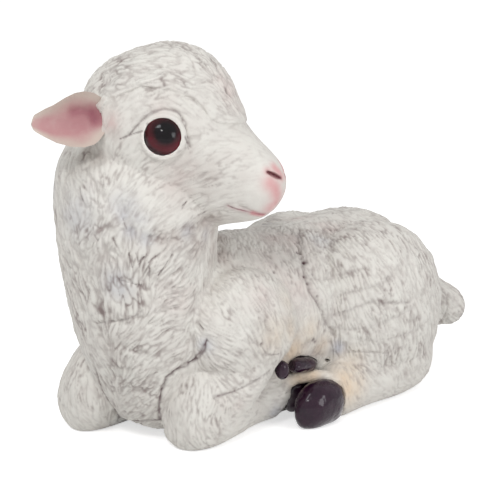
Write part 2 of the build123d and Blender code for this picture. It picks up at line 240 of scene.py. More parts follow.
# Clouds, each with its size and seed: of the crown's edge, of creases, of the body's swells, of the wool's
# sway and depth, of how full its grooves are of paint, of the hooves' surface, and of the paint's edge in the
# ears
SCALLOP = (5 * MM, 21)
WANDER = (2.4 * MM, 22)
SWELL = (15 * MM, 33)
SWAY_BROAD, SWAY_CLOSE = (9 * MM, 41), (4 * MM, 42)
PATCH = (8 * MM, 43)
DEEP_CLOSE, DEEP_BROAD = (3.5 * MM, 61), (10 * MM, 62)
HOOF_BROAD, HOOF_CLOSE = (3 * MM, 71), (1.4 * MM, 72)
EAR_EDGE = (6 * MM, 82)

# Seeds of the tufts and strands
TUFT_SEED, FINE_SEED, COARSE_SEED, EAR_SEED = 31, 51, 52, 81


def lattice_table(seed):
    """One fixed random number for each corner of a cube of LATTICE corners a side."""
    if seed not in _tables:
        numbers = np.random.default_rng(seed).random(LATTICE ** 3, dtype=np.float32)
        _tables[seed] = numbers * 2 - 1
    return _tables[seed]


def cloud(points, size, seed):
    """Smooth noise near -1 to 1: random corners of a cubic lattice of that size, eased together along each
    axis."""
    table = lattice_table(seed)
    at = (points / size + (11.3 + seed, 5.7 * seed, 3.1 - seed)).astype(np.float32)
    whole = np.floor(at)
    part = at - whole
    part = part * part * (3 - 2 * part)
    low = whole.astype(np.int64) % LATTICE
    high = (low + 1) % LATTICE
    strides = np.array((LATTICE * LATTICE, LATTICE, 1))
    x0, y0, z0 = (low * strides).T
    x1, y1, z1 = (high * strides).T
    u, v, w = part.T

    def mixed(x, y):
        return table[x + y + z0] * (1 - w) + table[x + y + z1] * w

    near = mixed(x0, y0) * (1 - v) + mixed(x0, y1) * v
    far = mixed(x1, y0) * (1 - v) + mixed(x1, y1) * v
    return near * (1 - u) + far * u


def strands(points, flow, width, length, seed):
    """Noise drawn out along the flow: the sum of clouds at even places on a straight run through each point,
    weighted by a cosine to the run's ends and divided by its own spread."""
    steps = max(3, int(round(length / (0.75 * width))))
    total = np.zeros(len(points), np.float32)
    for place in np.linspace(-0.5, 0.5, steps):
        total += math.cos(math.pi * place * 0.9) * cloud(points + place * length * flow, width, seed)
    return total / total.std()


def tufts(points, flow, width, length, seed):
    """Overlapping tufts that lie along the flow: the highest of a cloud's values on a run ahead of each
    point, each less its distance. So a tuft rises slowly from its root and ends in a step at its tip."""
    best = np.full(len(points), -9, np.float32)
    for place in np.linspace(0, 1, 7):
        best = np.maximum(best, cloud(points + place * length * flow, width, seed) - 1.3 * place)
    return best


def smooth_step(low, high, value):
    """0 below low, 1 above high, and a cubic ease between."""
    share = np.clip((value - low) / (high - low), 0, 1)
    return share * share * (3 - 2 * share)


def bell(gap, width):
    """A bell curve: 1 at no distance, and e to the minus square of the distance over the width."""
    return np.exp(-(gap / width) ** 2)


def raise_to(values, places, new):
    """Raises the values at these places to the new ones, where those are higher."""
    values[places] = np.maximum(values[places], new)


def unit(vectors):
    return vectors / np.maximum(np.linalg.norm(vectors, axis=-1, keepdims=True), 1e-12)


# Mesh arrays

def mesh_arrays(mesh):
    """A mesh's points, and the point at each corner of its faces."""
    points = np.empty(len(mesh.vertices) * 3, np.float32)
    mesh.vertices.foreach_get("co", points)
    corners = np.empty(len(mesh.loops), np.int32)
    mesh.loops.foreach_get("vertex_index", corners)
    return points.reshape(-1, 3), corners


def node_arrays(name):
    """Points and triangles of a CAD node, with its doubled points merged."""
    points, corners = mesh_arrays(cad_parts[name].data)
    rounded = np.round(points / (0.0001 * MM)).astype(np.int64)
    kept, merged = np.unique(rounded, axis=0, return_inverse=True)
    merged = merged.ravel()
    joined = np.zeros((len(kept), 3))
    joined[merged] = points
    triangles = merged[corners].reshape(-1, 3)
    whole = (triangles != np.roll(triangles, 1, axis=1)).all(axis=1)
    return joined, triangles[whole]


def new_piece(name, points, faces):
    """A mesh object at the origin. Faces are rows of point numbers."""
    mesh = bpy.data.meshes.new(name)
    mesh.from_pydata(points, [], faces)
    mesh.polygons.foreach_set("use_smooth", np.ones(len(mesh.polygons), bool))
    piece = bpy.data.objects.new(name, mesh)
    bpy.context.scene.collection.objects.link(piece)
    return piece


def ring_faces(rows, turns):
    """Four-cornered faces of a grid of rows round a tube, and the fans that join its first and last row to
    two more points, which are numbered after the grid's."""
    i, j = np.meshgrid(np.arange(rows - 1) * turns, np.arange(turns), indexing="ij")
    k = (j + 1) % turns
    quads = np.stack((i + j, i + k, i + turns + k, i + turns + j), axis=-1).reshape(-1, 4)
    around = np.arange(turns)
    ahead = (around + 1) % turns
    end = (rows - 1) * turns
    first = np.stack((ahead, around, np.full(turns, rows * turns)), axis=1)
    last = np.stack((end + around, end + ahead, np.full(turns, rows * turns + 1)), axis=1)
    return quads, np.concatenate((first, last))


def tube(path, radii, turns=24):
    """A closed tube: at each place of a path, a ring of that place's radius square to the path, given by the
    cosine and sine of the turn along two ways, and each end closed to its place."""
    ways = unit(np.gradient(path, axis=0))
    side = unit(np.cross(ways, (0.0, 0.0, 1.0)))
    angle = np.linspace(0, 2 * math.pi, turns, endpoint=False)[:, None]
    ring = np.cos(angle) * side[:, None] + np.sin(angle) * np.cross(ways, side)[:, None]
    grid = path[:, None] + radii[:, None, None] * ring
    quads, fans = ring_faces(len(path), turns)
    points = np.concatenate((grid.reshape(-1, 3), path[[0, -1]]))
    return points, np.concatenate((quads[:, :3], quads[:, [0, 2, 3]], fans))


def wrapped(names, grid, extras=()):
    """One closed skin over the solids of these nodes and over extra forms, each with its points, triangles
    and the place in names of its node, on an even grid: its points, its four-cornered faces and, for each
    point, the place in names of the node that it lies on."""
    forms = [(*node_arrays(name), place) for place, name in enumerate(names)] + list(extras)
    starts = np.cumsum([0] + [len(spots) for spots, _, _ in forms])
    points = np.concatenate([spots for spots, _, _ in forms])
    triangles = np.concatenate([faces + start for (_, faces, _), start in zip(forms, starts)])
    parts = np.concatenate([np.full(len(spots), place, np.float32) for spots, _, place in forms])
    carrier = new_piece("wrap", points, triangles)
    mesh = carrier.data
    mesh.attributes.new("part", "FLOAT", "POINT").data.foreach_set("value", parts)
    mesh.remesh_voxel_size = grid
    mesh.use_remesh_preserve_attributes = True
    with bpy.context.temp_override(object=carrier, active_object=carrier, selected_objects=[carrier]):
        bpy.ops.object.voxel_remesh()
    skin, corners = mesh_arrays(mesh)
    part = np.empty(len(mesh.vertices), np.float32)
    mesh.attributes["part"].data.foreach_get("value", part)
    bpy.data.objects.remove(carrier)
    return skin.astype(float), corners.reshape(-1, 4), np.round(part).astype(int)


def neighbour_mean(values, quads):
    """For each point, the mean of the values at the points that share an edge with it."""
    start, end = quads.ravel(), np.roll(quads, -1, axis=1).ravel()
    count = np.bincount(start, minlength=len(values)) + np.bincount(end, minlength=len(values))
    rows = values.reshape(len(values), -1)
    sums = [
        np.bincount(start, rows[end, k], len(values)) + np.bincount(end, rows[start, k], len(values))
        for k in range(rows.shape[1])
    ]
    return (np.stack(sums, axis=1) / count[:, None]).reshape(values.shape)


def point_normals(points, quads):
    """At each point, the sum of its faces' normals, each the cross product of the face's diagonals."""
    across = np.cross(points[quads[:, 2]] - points[quads[:, 0]], points[quads[:, 3]] - points[quads[:, 1]])
    corners = quads.ravel()
    spread = np.repeat(across, 4, axis=0)
    return unit(np.stack([np.bincount(corners, spread[:, k], len(points)) for k in range(3)], axis=1))


def relaxed(points, quads, rounds, hold):
    """Moves each point towards its neighbours' mean, round by round. Where hold is 1 it stays."""
    for _ in range(rounds):
        points = points + (0.6 * (1 - hold))[:, None] * (neighbour_mean(points, quads) - points)
    return points


def near_line(points, line, reach):
    """The points within reach of a chain of straight runs, and how far each is from the chain."""
    close = np.flatnonzero(((points > line.min(0) - reach) & (points < line.max(0) + reach)).all(axis=1))
    spot = points[close]
    gap = np.full(len(close), reach * 2)
    for start, end in zip(line[:-1], line[1:]):
        run = end - start
        share = np.clip(((spot - start) @ run) / max(run @ run, 1e-12), 0, 1)
        gap = np.minimum(gap, np.linalg.norm(spot - start - share[:, None] * run, axis=1))
    return close, gap


# Places read from the photograph, carried onto the skin by the camera's rays

def camera_ways():
    """Three ways square to one another: from the picture's middle to the camera, to its right, and up it."""
    turn, lift = stage_values().azimuth, stage_values().elevation
    back = np.array((math.sin(turn) * math.cos(lift), -math.cos(turn) * math.cos(lift), math.sin(lift)))
    right = np.array((math.cos(turn), math.sin(turn), 0.0))
    return back, right, np.cross(back, right)


class PhotoRays:
    """Casts rays from the camera through places on the photograph, in pixels of its 500 by 500 frame."""

    def __init__(self, points, quads, part):
        values = stage_values()
        self.back, self.right, self.up = camera_ways()
        self.eye = np.array(values.target) + self.back * values.distance
        self.focal = values.lens / SENSOR * PHOTO_SIDE
        self.pixel = values.distance / self.focal
        self.part = part
        self.quads = quads
        self.screen = new_piece("screen", points, quads)
        bpy.context.view_layer.update()

    def way(self, x, y):
        half = PHOTO_SIDE / 2
        return unit(self.right * (x - half) + self.up * (half - y) - self.back * self.focal)

    def hit(self, x, y):
        """Where the ray meets the skin and the part there, or None."""
        found, place, _, face = self.screen.ray_cast(Vector(self.eye), Vector(self.way(x, y)))
        if not found:
            return None
        return np.array(place), self.part[self.quads[face][0]]

    def line(self, pixels, between=5):
        """A curve through places on the photograph, laid on the skin, and its most common part. It is a
        Catmull-Rom curve, in which each piece leaves a place in the direction from the place before to the
        one after."""
        knots = np.array(pixels, float)
        knots = np.vstack((2 * knots[0] - knots[1], knots, 2 * knots[-1] - knots[-2]))
        spots = []
        for a, b, c, d in zip(knots[:-3], knots[1:-2], knots[2:-1], knots[3:]):
            for t in np.linspace(0, 1, between, endpoint=False):
                square = (2 * a - 5 * b + 4 * c - d) * t * t
                cube = (3 * b - a - 3 * c + d) * t ** 3
                spots.append(0.5 * (2 * b + (c - a) * t + square + cube))
        spots.append(knots[-2])
        hits = [h for h in (self.hit(*spot) for spot in spots) if h]
        return np.array([h[0] for h in hits]), int(np.median([h[1] for h in hits]))

    def blocked(self, start, ends):
        """How many of the straight runs from a start to these ends meet the skin on the way."""
        runs = ends - start
        lengths = np.linalg.norm(runs, axis=1)
        ways = runs / lengths[:, None]
        return sum(
            self.screen.ray_cast(Vector(start), Vector(way), distance=far)[0]
            for way, far in zip(ways, lengths - SHORT_STOP) if far > 0
        )

    def hub(self, rim):
        """A place inside the castings from which a rim can be seen whole: of the runs from the rim's middle
        to each of the lamb's deep places, the step that fewest lines to the rim are blocked from."""
        middle = rim.mean(axis=0)
        sample = rim[:: max(1, len(rim) // 48)]
        tried = [middle + share * (deep - middle) for share in (0.25, 0.5, 0.75, 1) for deep in DEEP_PLACES]
        tried.append(middle)
        return min(tried, key=lambda place: (self.blocked(place, sample), np.linalg.norm(place - middle)))

    def close(self):
        bpy.data.objects.remove(self.screen)


def rays_on(name):
    """Rays that meet one CAD node."""
    solid, triangles = node_arrays(name)
    return PhotoRays(solid, triangles, np.zeros(len(solid), int))


def mirrored(places, part, vectors=False):
    """The same places on the lamb's other side: across the head's middle plane for the head, or else across
    the body's."""
    across = LEFT_WAY if part == HEAD else np.array((0.0, 1.0, 0.0))
    origin = 0 if vectors or part != HEAD else SKULL
    local = places - origin
    return local - 2 * (local @ across)[..., None] * across + origin


def both_sides(places, part, twin=True):
    """The places and, where there is a twin, the same ones on the other side."""
    return [places] + ([mirrored(places, part)] if twin else [])


def head_places(points):
    """Side, height and length in the head's frame: towards its left, its crown and its nose."""
    local = points - SKULL
    return local @ LEFT_WAY, local @ CROWN_WAY, local @ NOSE_WAY


def head_way(nose, left, crown):
    """The way that has these shares of the head's own three ways."""
    return unit(nose * NOSE_WAY + left * LEFT_WAY + crown * CROWN_WAY)


# Coats of the fleece: depth of fine strands, depth of coarse locks and height of lumps in millimetres, sway
# in degrees, and the strength of the wash: dark paint and painted shade in the grooves
COATS = {
    "crown": (0.50, 0.80, 0.75, 50, 0.95),
    "cheek": (0.44, 0.06, 0.08, 7, 0.62),
    "muzzle": (0.14, 0.00, 0.05, 8, 0.25),
    "brow": (0.28, 0.10, 0.15, 16, 0.50),
    "nape": (0.54, 0.70, 0.85, 38, 1.00),
    "chest": (0.62, 0.70, 0.62, 14, 0.95),
    "shoulder": (0.60, 0.24, 0.38, 12, 0.74),
    "flank": (0.62, 0.24, 0.42, 11, 0.76),
    "haunch": (0.70, 0.30, 0.55, 12, 0.95),
    "knee": (0.60, 0.22, 0.34, 12, 0.85),
    "shank": (0.36, 0.08, 0.20, 12, 0.50),
}

# Which way the hair lies, as short lines from root to tip in pixels of the photograph
COMBS = {
    "crown": (
        (150, 53, 133, 60), (146, 66, 130, 66), (130, 80, 116, 88), (172, 69, 158, 72), (165, 82, 152, 88),
        (193, 94, 176, 88), (200, 68, 188, 66), (222, 82, 212, 74), (232, 100, 226, 88), (110, 78, 100, 92),
    ),
    "brow": (
        (140, 98, 122, 104), (170, 97, 152, 98), (200, 110, 192, 102), (112, 112, 106, 128),
        (212, 132, 203, 122),
    ),
    "muzzle": ((262, 150, 244, 150), (266, 170, 246, 172), (256, 198, 238, 196), (236, 136, 222, 138)),
    "cheek": (
        (177, 162, 155, 177), (155, 177, 140, 191), (133, 169, 121, 184), (213, 162, 191, 171),
        (235, 184, 206, 194), (191, 191, 169, 203), (133, 199, 121, 212), (118, 160, 112, 178),
        (222, 205, 200, 214), (180, 215, 160, 226), (240, 160, 220, 165), (205, 143, 196, 152),
        (128, 145, 118, 156),
    ),
    "nape": (
        (75, 158, 75, 178), (94, 162, 95, 180), (92, 213, 89, 229), (64, 206, 69, 226), (62, 214, 73, 234),
        (104, 196, 103, 214), (110, 228, 104, 242), (80, 243, 83, 262), (72, 186, 70, 200),
        (118, 238, 121, 256),
    ),
    "chest": (
        (133, 251, 138, 270), (150, 255, 140, 268), (186, 256, 157, 280), (188, 290, 158, 304),
        (188, 311, 158, 320), (148, 330, 122, 352), (186, 342, 148, 364), (158, 375, 132, 390),
        (163, 384, 135, 405), (101, 342, 115, 372), (90, 308, 95, 336), (106, 291, 110, 314),
        (130, 288, 137, 304), (67, 278, 74, 304), (78, 318, 84, 344), (188, 240, 170, 252),
        (146, 408, 130, 418),
    ),
    "shoulder": (
        (209, 262, 215, 280), (222, 240, 224, 256), (227, 275, 240, 290), (254, 230, 264, 246),
        (245, 288, 254, 303), (206, 322, 234, 332), (215, 345, 240, 352), (214, 300, 224, 314),
    ),
    "flank": (
        (276, 235, 283, 250), (262, 270, 271, 288), (280, 270, 287, 286), (276, 293, 285, 308),
        (288, 322, 297, 340), (267, 330, 275, 350), (262, 308, 270, 324), (252, 326, 262, 342),
        (305, 300, 312, 320),
    ),
    "haunch": (
        (315, 226, 318, 256), (331, 235, 341, 250), (348, 232, 364, 242), (371, 242, 388, 260),
        (400, 226, 418, 243), (410, 256, 417, 280), (325, 268, 328, 284), (348, 266, 357, 280),
        (372, 276, 382, 292), (346, 335, 349, 348), (362, 325, 365, 339), (350, 308, 356, 322),
        (384, 300, 392, 318), (371, 360, 381, 380), (390, 347, 396, 371), (410, 350, 411, 378),
        (424, 300, 430, 330), (444, 299, 456, 311), (335, 300, 340, 314),
    ),
    "knee": (
        (73, 366, 62, 391), (90, 366, 108, 396), (73, 399, 95, 420), (81, 382, 85, 408), (173, 392, 169, 416),
        (189, 376, 181, 405), (199, 428, 208, 445), (208, 388, 200, 424), (214, 366, 230, 378),
        (200, 371, 196, 388),
    ),
    "shank": (
        (236, 412, 264, 402), (275, 396, 292, 388), (225, 428, 246, 422), (345, 374, 352, 392),
        (366, 390, 384, 394), (330, 372, 318, 376), (398, 388, 414, 386),
    ),
}

# Carved creases in pixels of the photograph: places, depth and half width in millimetres, darkness of
# the paint and painted shade in the crease, and whether the hidden side has the same one
CREASES = (
    (((129, 135), (141, 121), (152, 112.5), (165, 109), (178, 112.5), (185, 124), (188, 138), (190, 147)),
     0.90, 0.9, 0.62, True),
    (((120, 139), (133, 134), (142, 131)), 0.45, 0.6, 0.70, True),
    (((122, 205), (127, 221), (133, 232), (151, 237.5), (172, 237), (190, 230), (205, 222), (216, 215)),
     1.70, 3.0, 0.10, True),
    (((185.5, 137), (187.5, 143), (188.5, 149)), 0.40, 0.6, 0.95, True),
    (((186, 202), (182, 208)), 0.50, 0.6, 0.90, True),
    (((205, 212), (198, 215.5)), 0.35, 0.5, 0.70, True),
    (((95, 324), (118, 321), (133, 317), (140, 312)), 0.80, 0.8, 0.50, False),
    (((206, 341), (203, 350), (196, 358), (188, 364), (176, 371), (167, 378)), 1.40, 1.3, 0.95, False),
    (((119, 280), (130, 282.5), (141, 286)), 0.50, 0.6, 0.40, False),
    (((150, 268), (149, 281)), 0.40, 0.5, 0.50, False),
    (((146, 377), (158, 373)), 0.50, 0.6, 0.50, False),
    (((95, 368), (97, 378), (101, 388), (108, 399), (115, 409), (120, 419)), 1.20, 1.1, 0.95, False),
    (((166, 380), (161, 394), (159, 408), (160, 421)), 1.20, 1.1, 0.85, False),
    (((122, 421), (136, 422), (150, 421), (160, 421)), 0.60, 0.9, 0.80, False),
    (((214, 397), (228, 393.5), (236, 391), (250, 384), (262, 377), (271, 371)), 0.90, 1.2, 0.42, True),
    (((218, 396), (226, 394), (235, 391)), 0.50, 0.9, 0.75, True),
    (((261, 344), (265.5, 352.5), (271.5, 355), (279, 354)), 0.45, 0.6, 0.45, True),
    (((300, 228), (299, 245), (303, 262), (306, 277), (311, 291), (319, 304), (326, 320), (333, 335)),
     1.40, 1.5, 0.48, True),
    (((311, 270), (315, 277), (322, 279), (335, 277), (350, 272), (365, 268)), 0.60, 1.4, 0.20, True),
    (((337, 314), (352, 309), (371, 302), (390, 303), (410, 302)), 0.65, 1.4, 0.28, True),
    (((340, 294), (360, 290), (380, 284), (392, 276)), 0.50, 1.4, 0.18, True),
    (((332, 326), (350, 330), (380, 324), (400, 316), (414, 308)), 0.60, 1.5, 0.18, True),
    (((350, 338), (375, 341), (400, 336), (418, 330)), 0.50, 1.4, 0.15, True),
    (((346, 352.5), (366, 352.5), (388, 353)), 0.50, 0.9, 0.25, True),
    (((437, 281), (447, 297), (446, 313), (438, 325)), 0.70, 0.9, 0.30, False),
    (((144, 256.5), (139, 264)), 0.60, 0.5, 0.75, False),
    (((155.5, 256.5), (148.5, 262)), 0.60, 0.5, 0.75, False),
    (((129, 254), (132, 267)), 0.60, 0.5, 0.65, False),
    (((136, 253), (138, 262)), 0.50, 0.5, 0.55, False),
    (((123, 219), (126.5, 229.5)), 0.50, 0.5, 0.60, False),
    (((172, 255), (165, 265), (158.5, 275)), 0.60, 0.5, 0.60, False),
    (((149, 267), (150, 278)), 0.60, 0.5, 0.65, False),
    (((79, 188), (83, 201)), 0.50, 0.5, 0.45, False),
    (((95, 235), (98.5, 241)), 0.50, 0.5, 0.60, False),
    (((113, 238), (116.5, 246)), 0.60, 0.6, 0.70, False),
    (((198, 322), (203, 329)), 0.60, 0.6, 0.60, False),
)

# Pits in pixels of the photograph, darkened with paint and painted shade: place, half width in millimetres
# and depth
PITS = (
    (298, 252, 0.8, 1.0), (304.5, 261.4, 1.2, 1.2), (305.5, 276, 0.9, 1.0), (308.5, 283, 0.8, 0.9),
    (313.5, 340, 0.9, 0.9), (311, 289, 0.7, 0.5), (318, 296, 0.7, 0.6), (274.5, 272, 0.6, 0.5),
    (235.5, 391, 0.9, 0.8), (262, 344.5, 0.7, 0.6), (97, 138, 0.7, 0.8), (183, 205, 0.7, 0.5),
    (315, 342, 0.8, 0.8), (147, 124, 0.5, 0.4),
)

# Soft areas of colour in pixels of the photograph: place, radius in pixels, strength, and whether the hidden
# side has it
TINTS = {
    "rosy": (
        (178, 175, 20, 0.16, True), (228, 92, 20, 0.22, True), (330, 228, 20, 0.22, True),
        (284, 240, 26, 0.26, True), (272, 264, 22, 0.16, True), (286, 280, 14, 0.20, True),
        (300, 290, 22, 0.20, True), (262, 295, 18, 0.16, True), (163, 112, 10, 0.20, True),
        (180, 300, 18, 0.14, False), (112, 122, 10, 0.35, True), (235, 402, 14, 0.12, True),
    ),
    "peach": (
        (292, 352, 20, 0.50, True), (290, 330, 14, 0.30, True), (348, 384, 22, 0.62, True),
        (308, 332, 14, 0.36, True), (300, 380, 12, 0.62, True), (310, 376, 16, 0.60, True),
        (276, 335, 18, 0.30, True), (350, 368, 16, 0.42, True), (322, 345, 12, 0.30, True),
        (287, 300, 16, 0.14, True),
    ),
    # Painted cold grey shade along the jaw, in folds and near the floor
    "grey_painted_shade": (
        (338, 348, 9, 0.65, True), (124, 206, 13, 0.40, True), (124, 216, 8, 0.40, True),
        (131, 232, 8, 0.50, True), (146, 238, 8, 0.45, True), (188, 232, 8, 0.30, True),
        (118, 284, 14, 0.40, False), (205, 345, 8, 0.45, False), (276, 412, 10, 0.45, True),
        (320, 240, 12, 0.35, True), (206, 235, 8, 0.20, True), (78, 215, 22, 0.30, False),
        (120, 420, 10, 0.30, False), (240, 440, 12, 0.20, True), (136, 222, 12, 0.35, True),
        (252, 222, 18, 0.22, True),
    ),
    # Painted brown-grey shade under and behind the jaw, at the ear's root, on the cheek and in folds
    "brown_painted_shade": (
        (222, 256, 20, 0.60, True), (112, 132, 9, 0.30, True), (161, 239, 8, 0.42, True),
        (176, 238, 8, 0.48, True), (134, 236, 7, 0.30, True), (100, 156, 11, 0.36, True),
        (318, 350, 12, 0.50, True), (206, 224, 14, 0.55, True), (192, 230, 9, 0.45, True),
        (222, 238, 16, 0.50, True), (213, 232, 9, 0.45, True), (214, 248, 9, 0.42, True),
        (212, 263, 9, 0.32, True), (196, 176, 28, 0.32, True), (165, 99, 18, 0.14, True),
        (226, 176, 22, 0.16, True), (108, 344, 14, 0.20, False), (100, 384, 9, 0.30, False),
        (300, 318, 8, 0.25, True), (296, 339, 10, 0.34, True), (286, 322, 9, 0.20, True),
        (308, 342, 8, 0.36, True), (336, 236, 14, 0.25, True), (200, 244, 16, 0.50, True),
    ),
}

# Edge of the crown's wool on the face, from the ear to the brow, in pixels of the photograph
CROWN_EDGE = (
    (112, 100), (120, 96), (132, 88), (150, 87), (166, 86), (180, 91), (194, 97), (203, 108), (209, 121),
    (220, 119), (230, 119), (240, 122),
)

# Lines of the nose and mouth, in pixels of the photograph
NOSTRIL = ((267.5, 172), (272, 174), (277, 176.5), (281.5, 178))
NOSE_TOP = ((275, 168), (279, 172), (282, 177))
NOSE_FRONT = ((271, 183), (276, 190), (277, 200), (271, 208))
LIPS = ((228, 206), (236, 209), (246, 211.5), (256, 214), (264, 214.5))
LIP_TIP = ((253, 213.5), (259, 215), (264, 215))

# Painted strokes: mask, places, half width in millimetres and strength
STROKES = (
    ("pink", NOSE_TOP, 2.4, 0.72), ("pink", NOSTRIL, 2.2, 0.62), ("pink", NOSE_FRONT, 4.0, 0.64),
    ("pink", LIP_TIP, 1.3, 0.85), ("mauve", LIPS, 0.5, 0.85), ("mauve", LIPS, 1.6, 0.30),
    ("crimson", NOSTRIL, 0.75, 1.0),
)

# Pale overspray on the hind hoof, and the middle of the pastern that lies over it, in pixels of the
# photograph
OVERSPRAY = ((280, 413), (284, 405), (282, 409), (279, 401), (287, 399), (284, 415))
PASTERN = ((280, 389), (286, 382), (297, 377), (312, 375.5), (328, 377), (342, 383))

# Radius of the pastern's tube, how far it is sunk behind what it lies on, and its rings
PASTERN_RADIUS, PASTERN_SINK, PASTERN_RINGS = 3.2 * MM, 2.2 * MM, 40

# Grid, rounds of softening and unevenness of a hoof, and the strength and radius of its overspray
HOOF_GRID, HOOF_ROUNDS, HOOF_WOBBLE = 0.35 * MM, 3, 0.22 * MM
SPRAY_STRENGTH, SPRAY_RADIUS = 0.92, 3.4 * MM

# Edges of the ear from its tip to where it enters the head, and its dark fold, in pixels of the photograph
EAR_TOP = (
    (33, 124), (33.2, 119), (35, 114.5), (44, 109), (50.5, 106), (61, 99), (70, 94.6), (79, 93), (89, 94.6),
    (99, 100), (108, 108),
)
EAR_BOTTOM = (
    (33, 124), (33.6, 128), (36, 131.5), (44, 137.3), (54, 143.7), (66.5, 148), (79, 148.8), (89, 146),
    (95, 141), (101, 133), (108, 124),
)
EAR_FOLD = ((74, 111.5), (80, 110), (87, 110), (92, 113.5), (95, 120))

# The right ear's cup and aim as shares of the head's three ways, and the rows and turns of its shell
EAR_CUP = (0.497, -0.654, 0.570)
EAR_AIM = (-0.605, -0.732, -0.3125)
EAR_ROWS, EAR_TURNS = 90, 96

# The ear's wall at its root, the depth of its cup and the width from which it is that deep, the curl of its
# edges, the droop of its tip, how far it stands forward, the depth of its fold, and the least half width of a
# section, so that its tip stays open
EAR_WALL, EAR_DEPTH, EAR_WIDE = 2.4 * MM, 4.5 * MM, 22 * MM
EAR_CURL, EAR_DROOP, EAR_FORWARD = 3.0 * MM, 5.0 * MM, 3.2 * MM
FOLD_DEPTH = 1.1 * MM
EAR_TIP = 0.3 * MM

# Width and length of the hair painted on the back of the ears
EAR_HAIR = (0.9 * MM, 6 * MM)

# Shares of the body's length at which its skin is cut, behind the chest and before the rump
CHEST_SHARE, RUMP_SHARE = 0.28, 0.66

# How far the open rim of a cut piece of skin turns in, and how far before the rim a line to it stops
RIM_DEPTH = 2.5 * MM
SHORT_STOP = 2 * MM

# Skin near the floor that stays flat
FLOOR_BAND = 1 * MM

# Height of the body's broad swells, depth of pits, lips and nostrils, and how far past a tuft's tip its shade
# is looked for
SWELL_HEIGHT = 0.5 * MM
PIT_DEPTH, LIP_DEPTH, NOSTRIL_DEPTH = 0.9 * MM, 0.35 * MM, 0.5 * MM
TIP_LOOK = 0.9 * MM

# Length along the head from which the nose is bare of wool, and from which it is wholly so
NOSE_START, NOSE_END = 54 * MM, 62 * MM

# Distances from an eye's middle in millimetres, between which its smooth skin gives way, under the eye and
# over it: for the softening, which leaves the lids alone, and for the carving of the wool
LID_HOLD = ((10.0, 11.5), (12.0, 15.0))
LID_BARE = ((8.6, 9.6), (9.5, 12.0))


def combed_flow(points, normals, rays):
    """The way the hair lies at each point, and each coat's share there. Every comb line pulls with the weight
    1 / (distance squared + reach squared) squared, so the nearest lines win and the change is smooth."""
    reach = 7 * MM
    places, ways, coats = [], [], []
    for coat, lines in COMBS.items():
        for x0, y0, x1, y1 in lines:
            root, tip = rays.hit(x0, y0), rays.hit(x1, y1)
            if not root or not tip:
                continue
            place, way = (root[0] + tip[0]) / 2, unit(tip[0] - root[0])
            places.append(place)
            ways.append(way)
            coats.append(coat)
            gap = abs((place - SKULL) @ LEFT_WAY) if root[1] == HEAD else abs(place[1])
            if gap > 20 * MM or root[1] == HEAD:
                places.append(mirrored(place, root[1]))
                ways.append(mirrored(way, root[1], vectors=True))
                coats.append(coat)
    names = list(COATS)
    flow = np.zeros_like(points)
    share = np.zeros((len(points), len(names)), np.float32)
    total = np.zeros(len(points))
    for place, way, coat in zip(places, ways, coats):
        weight = 1 / (((points - place) ** 2).sum(axis=1) + reach ** 2) ** 2
        flow += weight[:, None] * way
        share[:, names.index(coat)] += weight
        total += weight
    flow -= (flow * normals).sum(axis=1)[:, None] * normals
    return unit(flow), share / total[:, None]


def turned(flow, normals, angle):
    """The flow turned about the normals by an angle at each point."""
    side = np.cross(normals, flow)
    return flow * np.cos(angle)[:, None] + side * np.sin(angle)[:, None]


def crown_share(points, part, rays):
    """1 on the crown's raised wool and 0 on the face: how far a point stands above the crown's edge, whose
    height is read at the point's length along the head and which is scalloped by noise."""
    _, up, along = head_places(points)
    edge, _ = rays.line(CROWN_EDGE, 4)
    _, edge_up, edge_along = head_places(edge)
    order = np.argsort(edge_along)
    level = np.interp(along, edge_along[order], edge_up[order])
    scallop = cloud(points, *SCALLOP) * 1.6 * MM
    above = up - level + scallop
    before_brow = edge_along.max() - along + scallop
    share = smooth_step(-0.8 * MM, 0.9 * MM, np.minimum(above, before_brow))
    beside_face = along > edge_along.min() - 2 * MM
    share[~((part == HEAD) & beside_face)] = 0
    share[(part == HEAD) & ~beside_face & (up > 0)] = 1
    return share


def skin_masks(points, rays):
    """Painted areas: for each colour, a soft round patch round each place that is read from the
    photograph."""
    masks = {}
    for name, spots in TINTS.items():
        mask = np.zeros(len(points))
        for x, y, radius, strength, twin in spots:
            hit = rays.hit(x, y)
            for place in both_sides(*hit, twin) if hit else ():
                gap = np.linalg.norm(points - place, axis=1)
                mask = np.maximum(mask, strength * bell(gap, radius * rays.pixel))
        masks[name] = mask
    return masks


def painted_strokes(points, rays):
    """The lines of paint on the nose and mouth, on both sides of the head."""
    masks = {name: np.zeros(len(points)) for name in ("pink", "mauve", "crimson")}
    for name, pixels, width, strength in STROKES:
        line, _ = rays.line(pixels)
        for chain in both_sides(line, HEAD):
            close, gap = near_line(points, chain, 4 * width * MM)
            raise_to(masks[name], close, strength * bell(gap, width * MM))
    return masks


def creases(points, wander, rays):
    """How deep the creases cut at each point, and how dark they are painted, partly a stain and partly
    painted shade. Both fall off from a crease's line as a bell curve, and the wander makes its course and its
    depth ragged."""
    groove, stain_and_shade = np.zeros(len(points)), np.zeros(len(points))
    for pixels, depth, width, dark, twin in CREASES:
        for chain in both_sides(*rays.line(pixels), twin):
            close, gap = near_line(points, chain, 4 * width * MM)
            ragged = 0.75 + 0.6 * wander[close]
            gap = np.abs(gap + 0.7 * width * MM * wander[close])
            raise_to(groove, close, ragged * depth * MM * bell(gap, width * MM))
            raise_to(stain_and_shade, close, 1.35 * ragged * dark * bell(gap, 0.6 * width * MM))
    return groove, stain_and_shade


def pits(points, wander, rays):
    """How deep the pits are at each point: a bell curve of the distance, pushed out and in by the wander."""
    pit = np.zeros(len(points))
    for x, y, width, depth in PITS:
        for place in both_sides(*rays.hit(x, y)):
            gap = np.linalg.norm(points - place, axis=1) / (width * MM) + 0.5 * wander
            pit = np.maximum(pit, depth * np.exp(-gap * np.abs(gap)))
    return pit


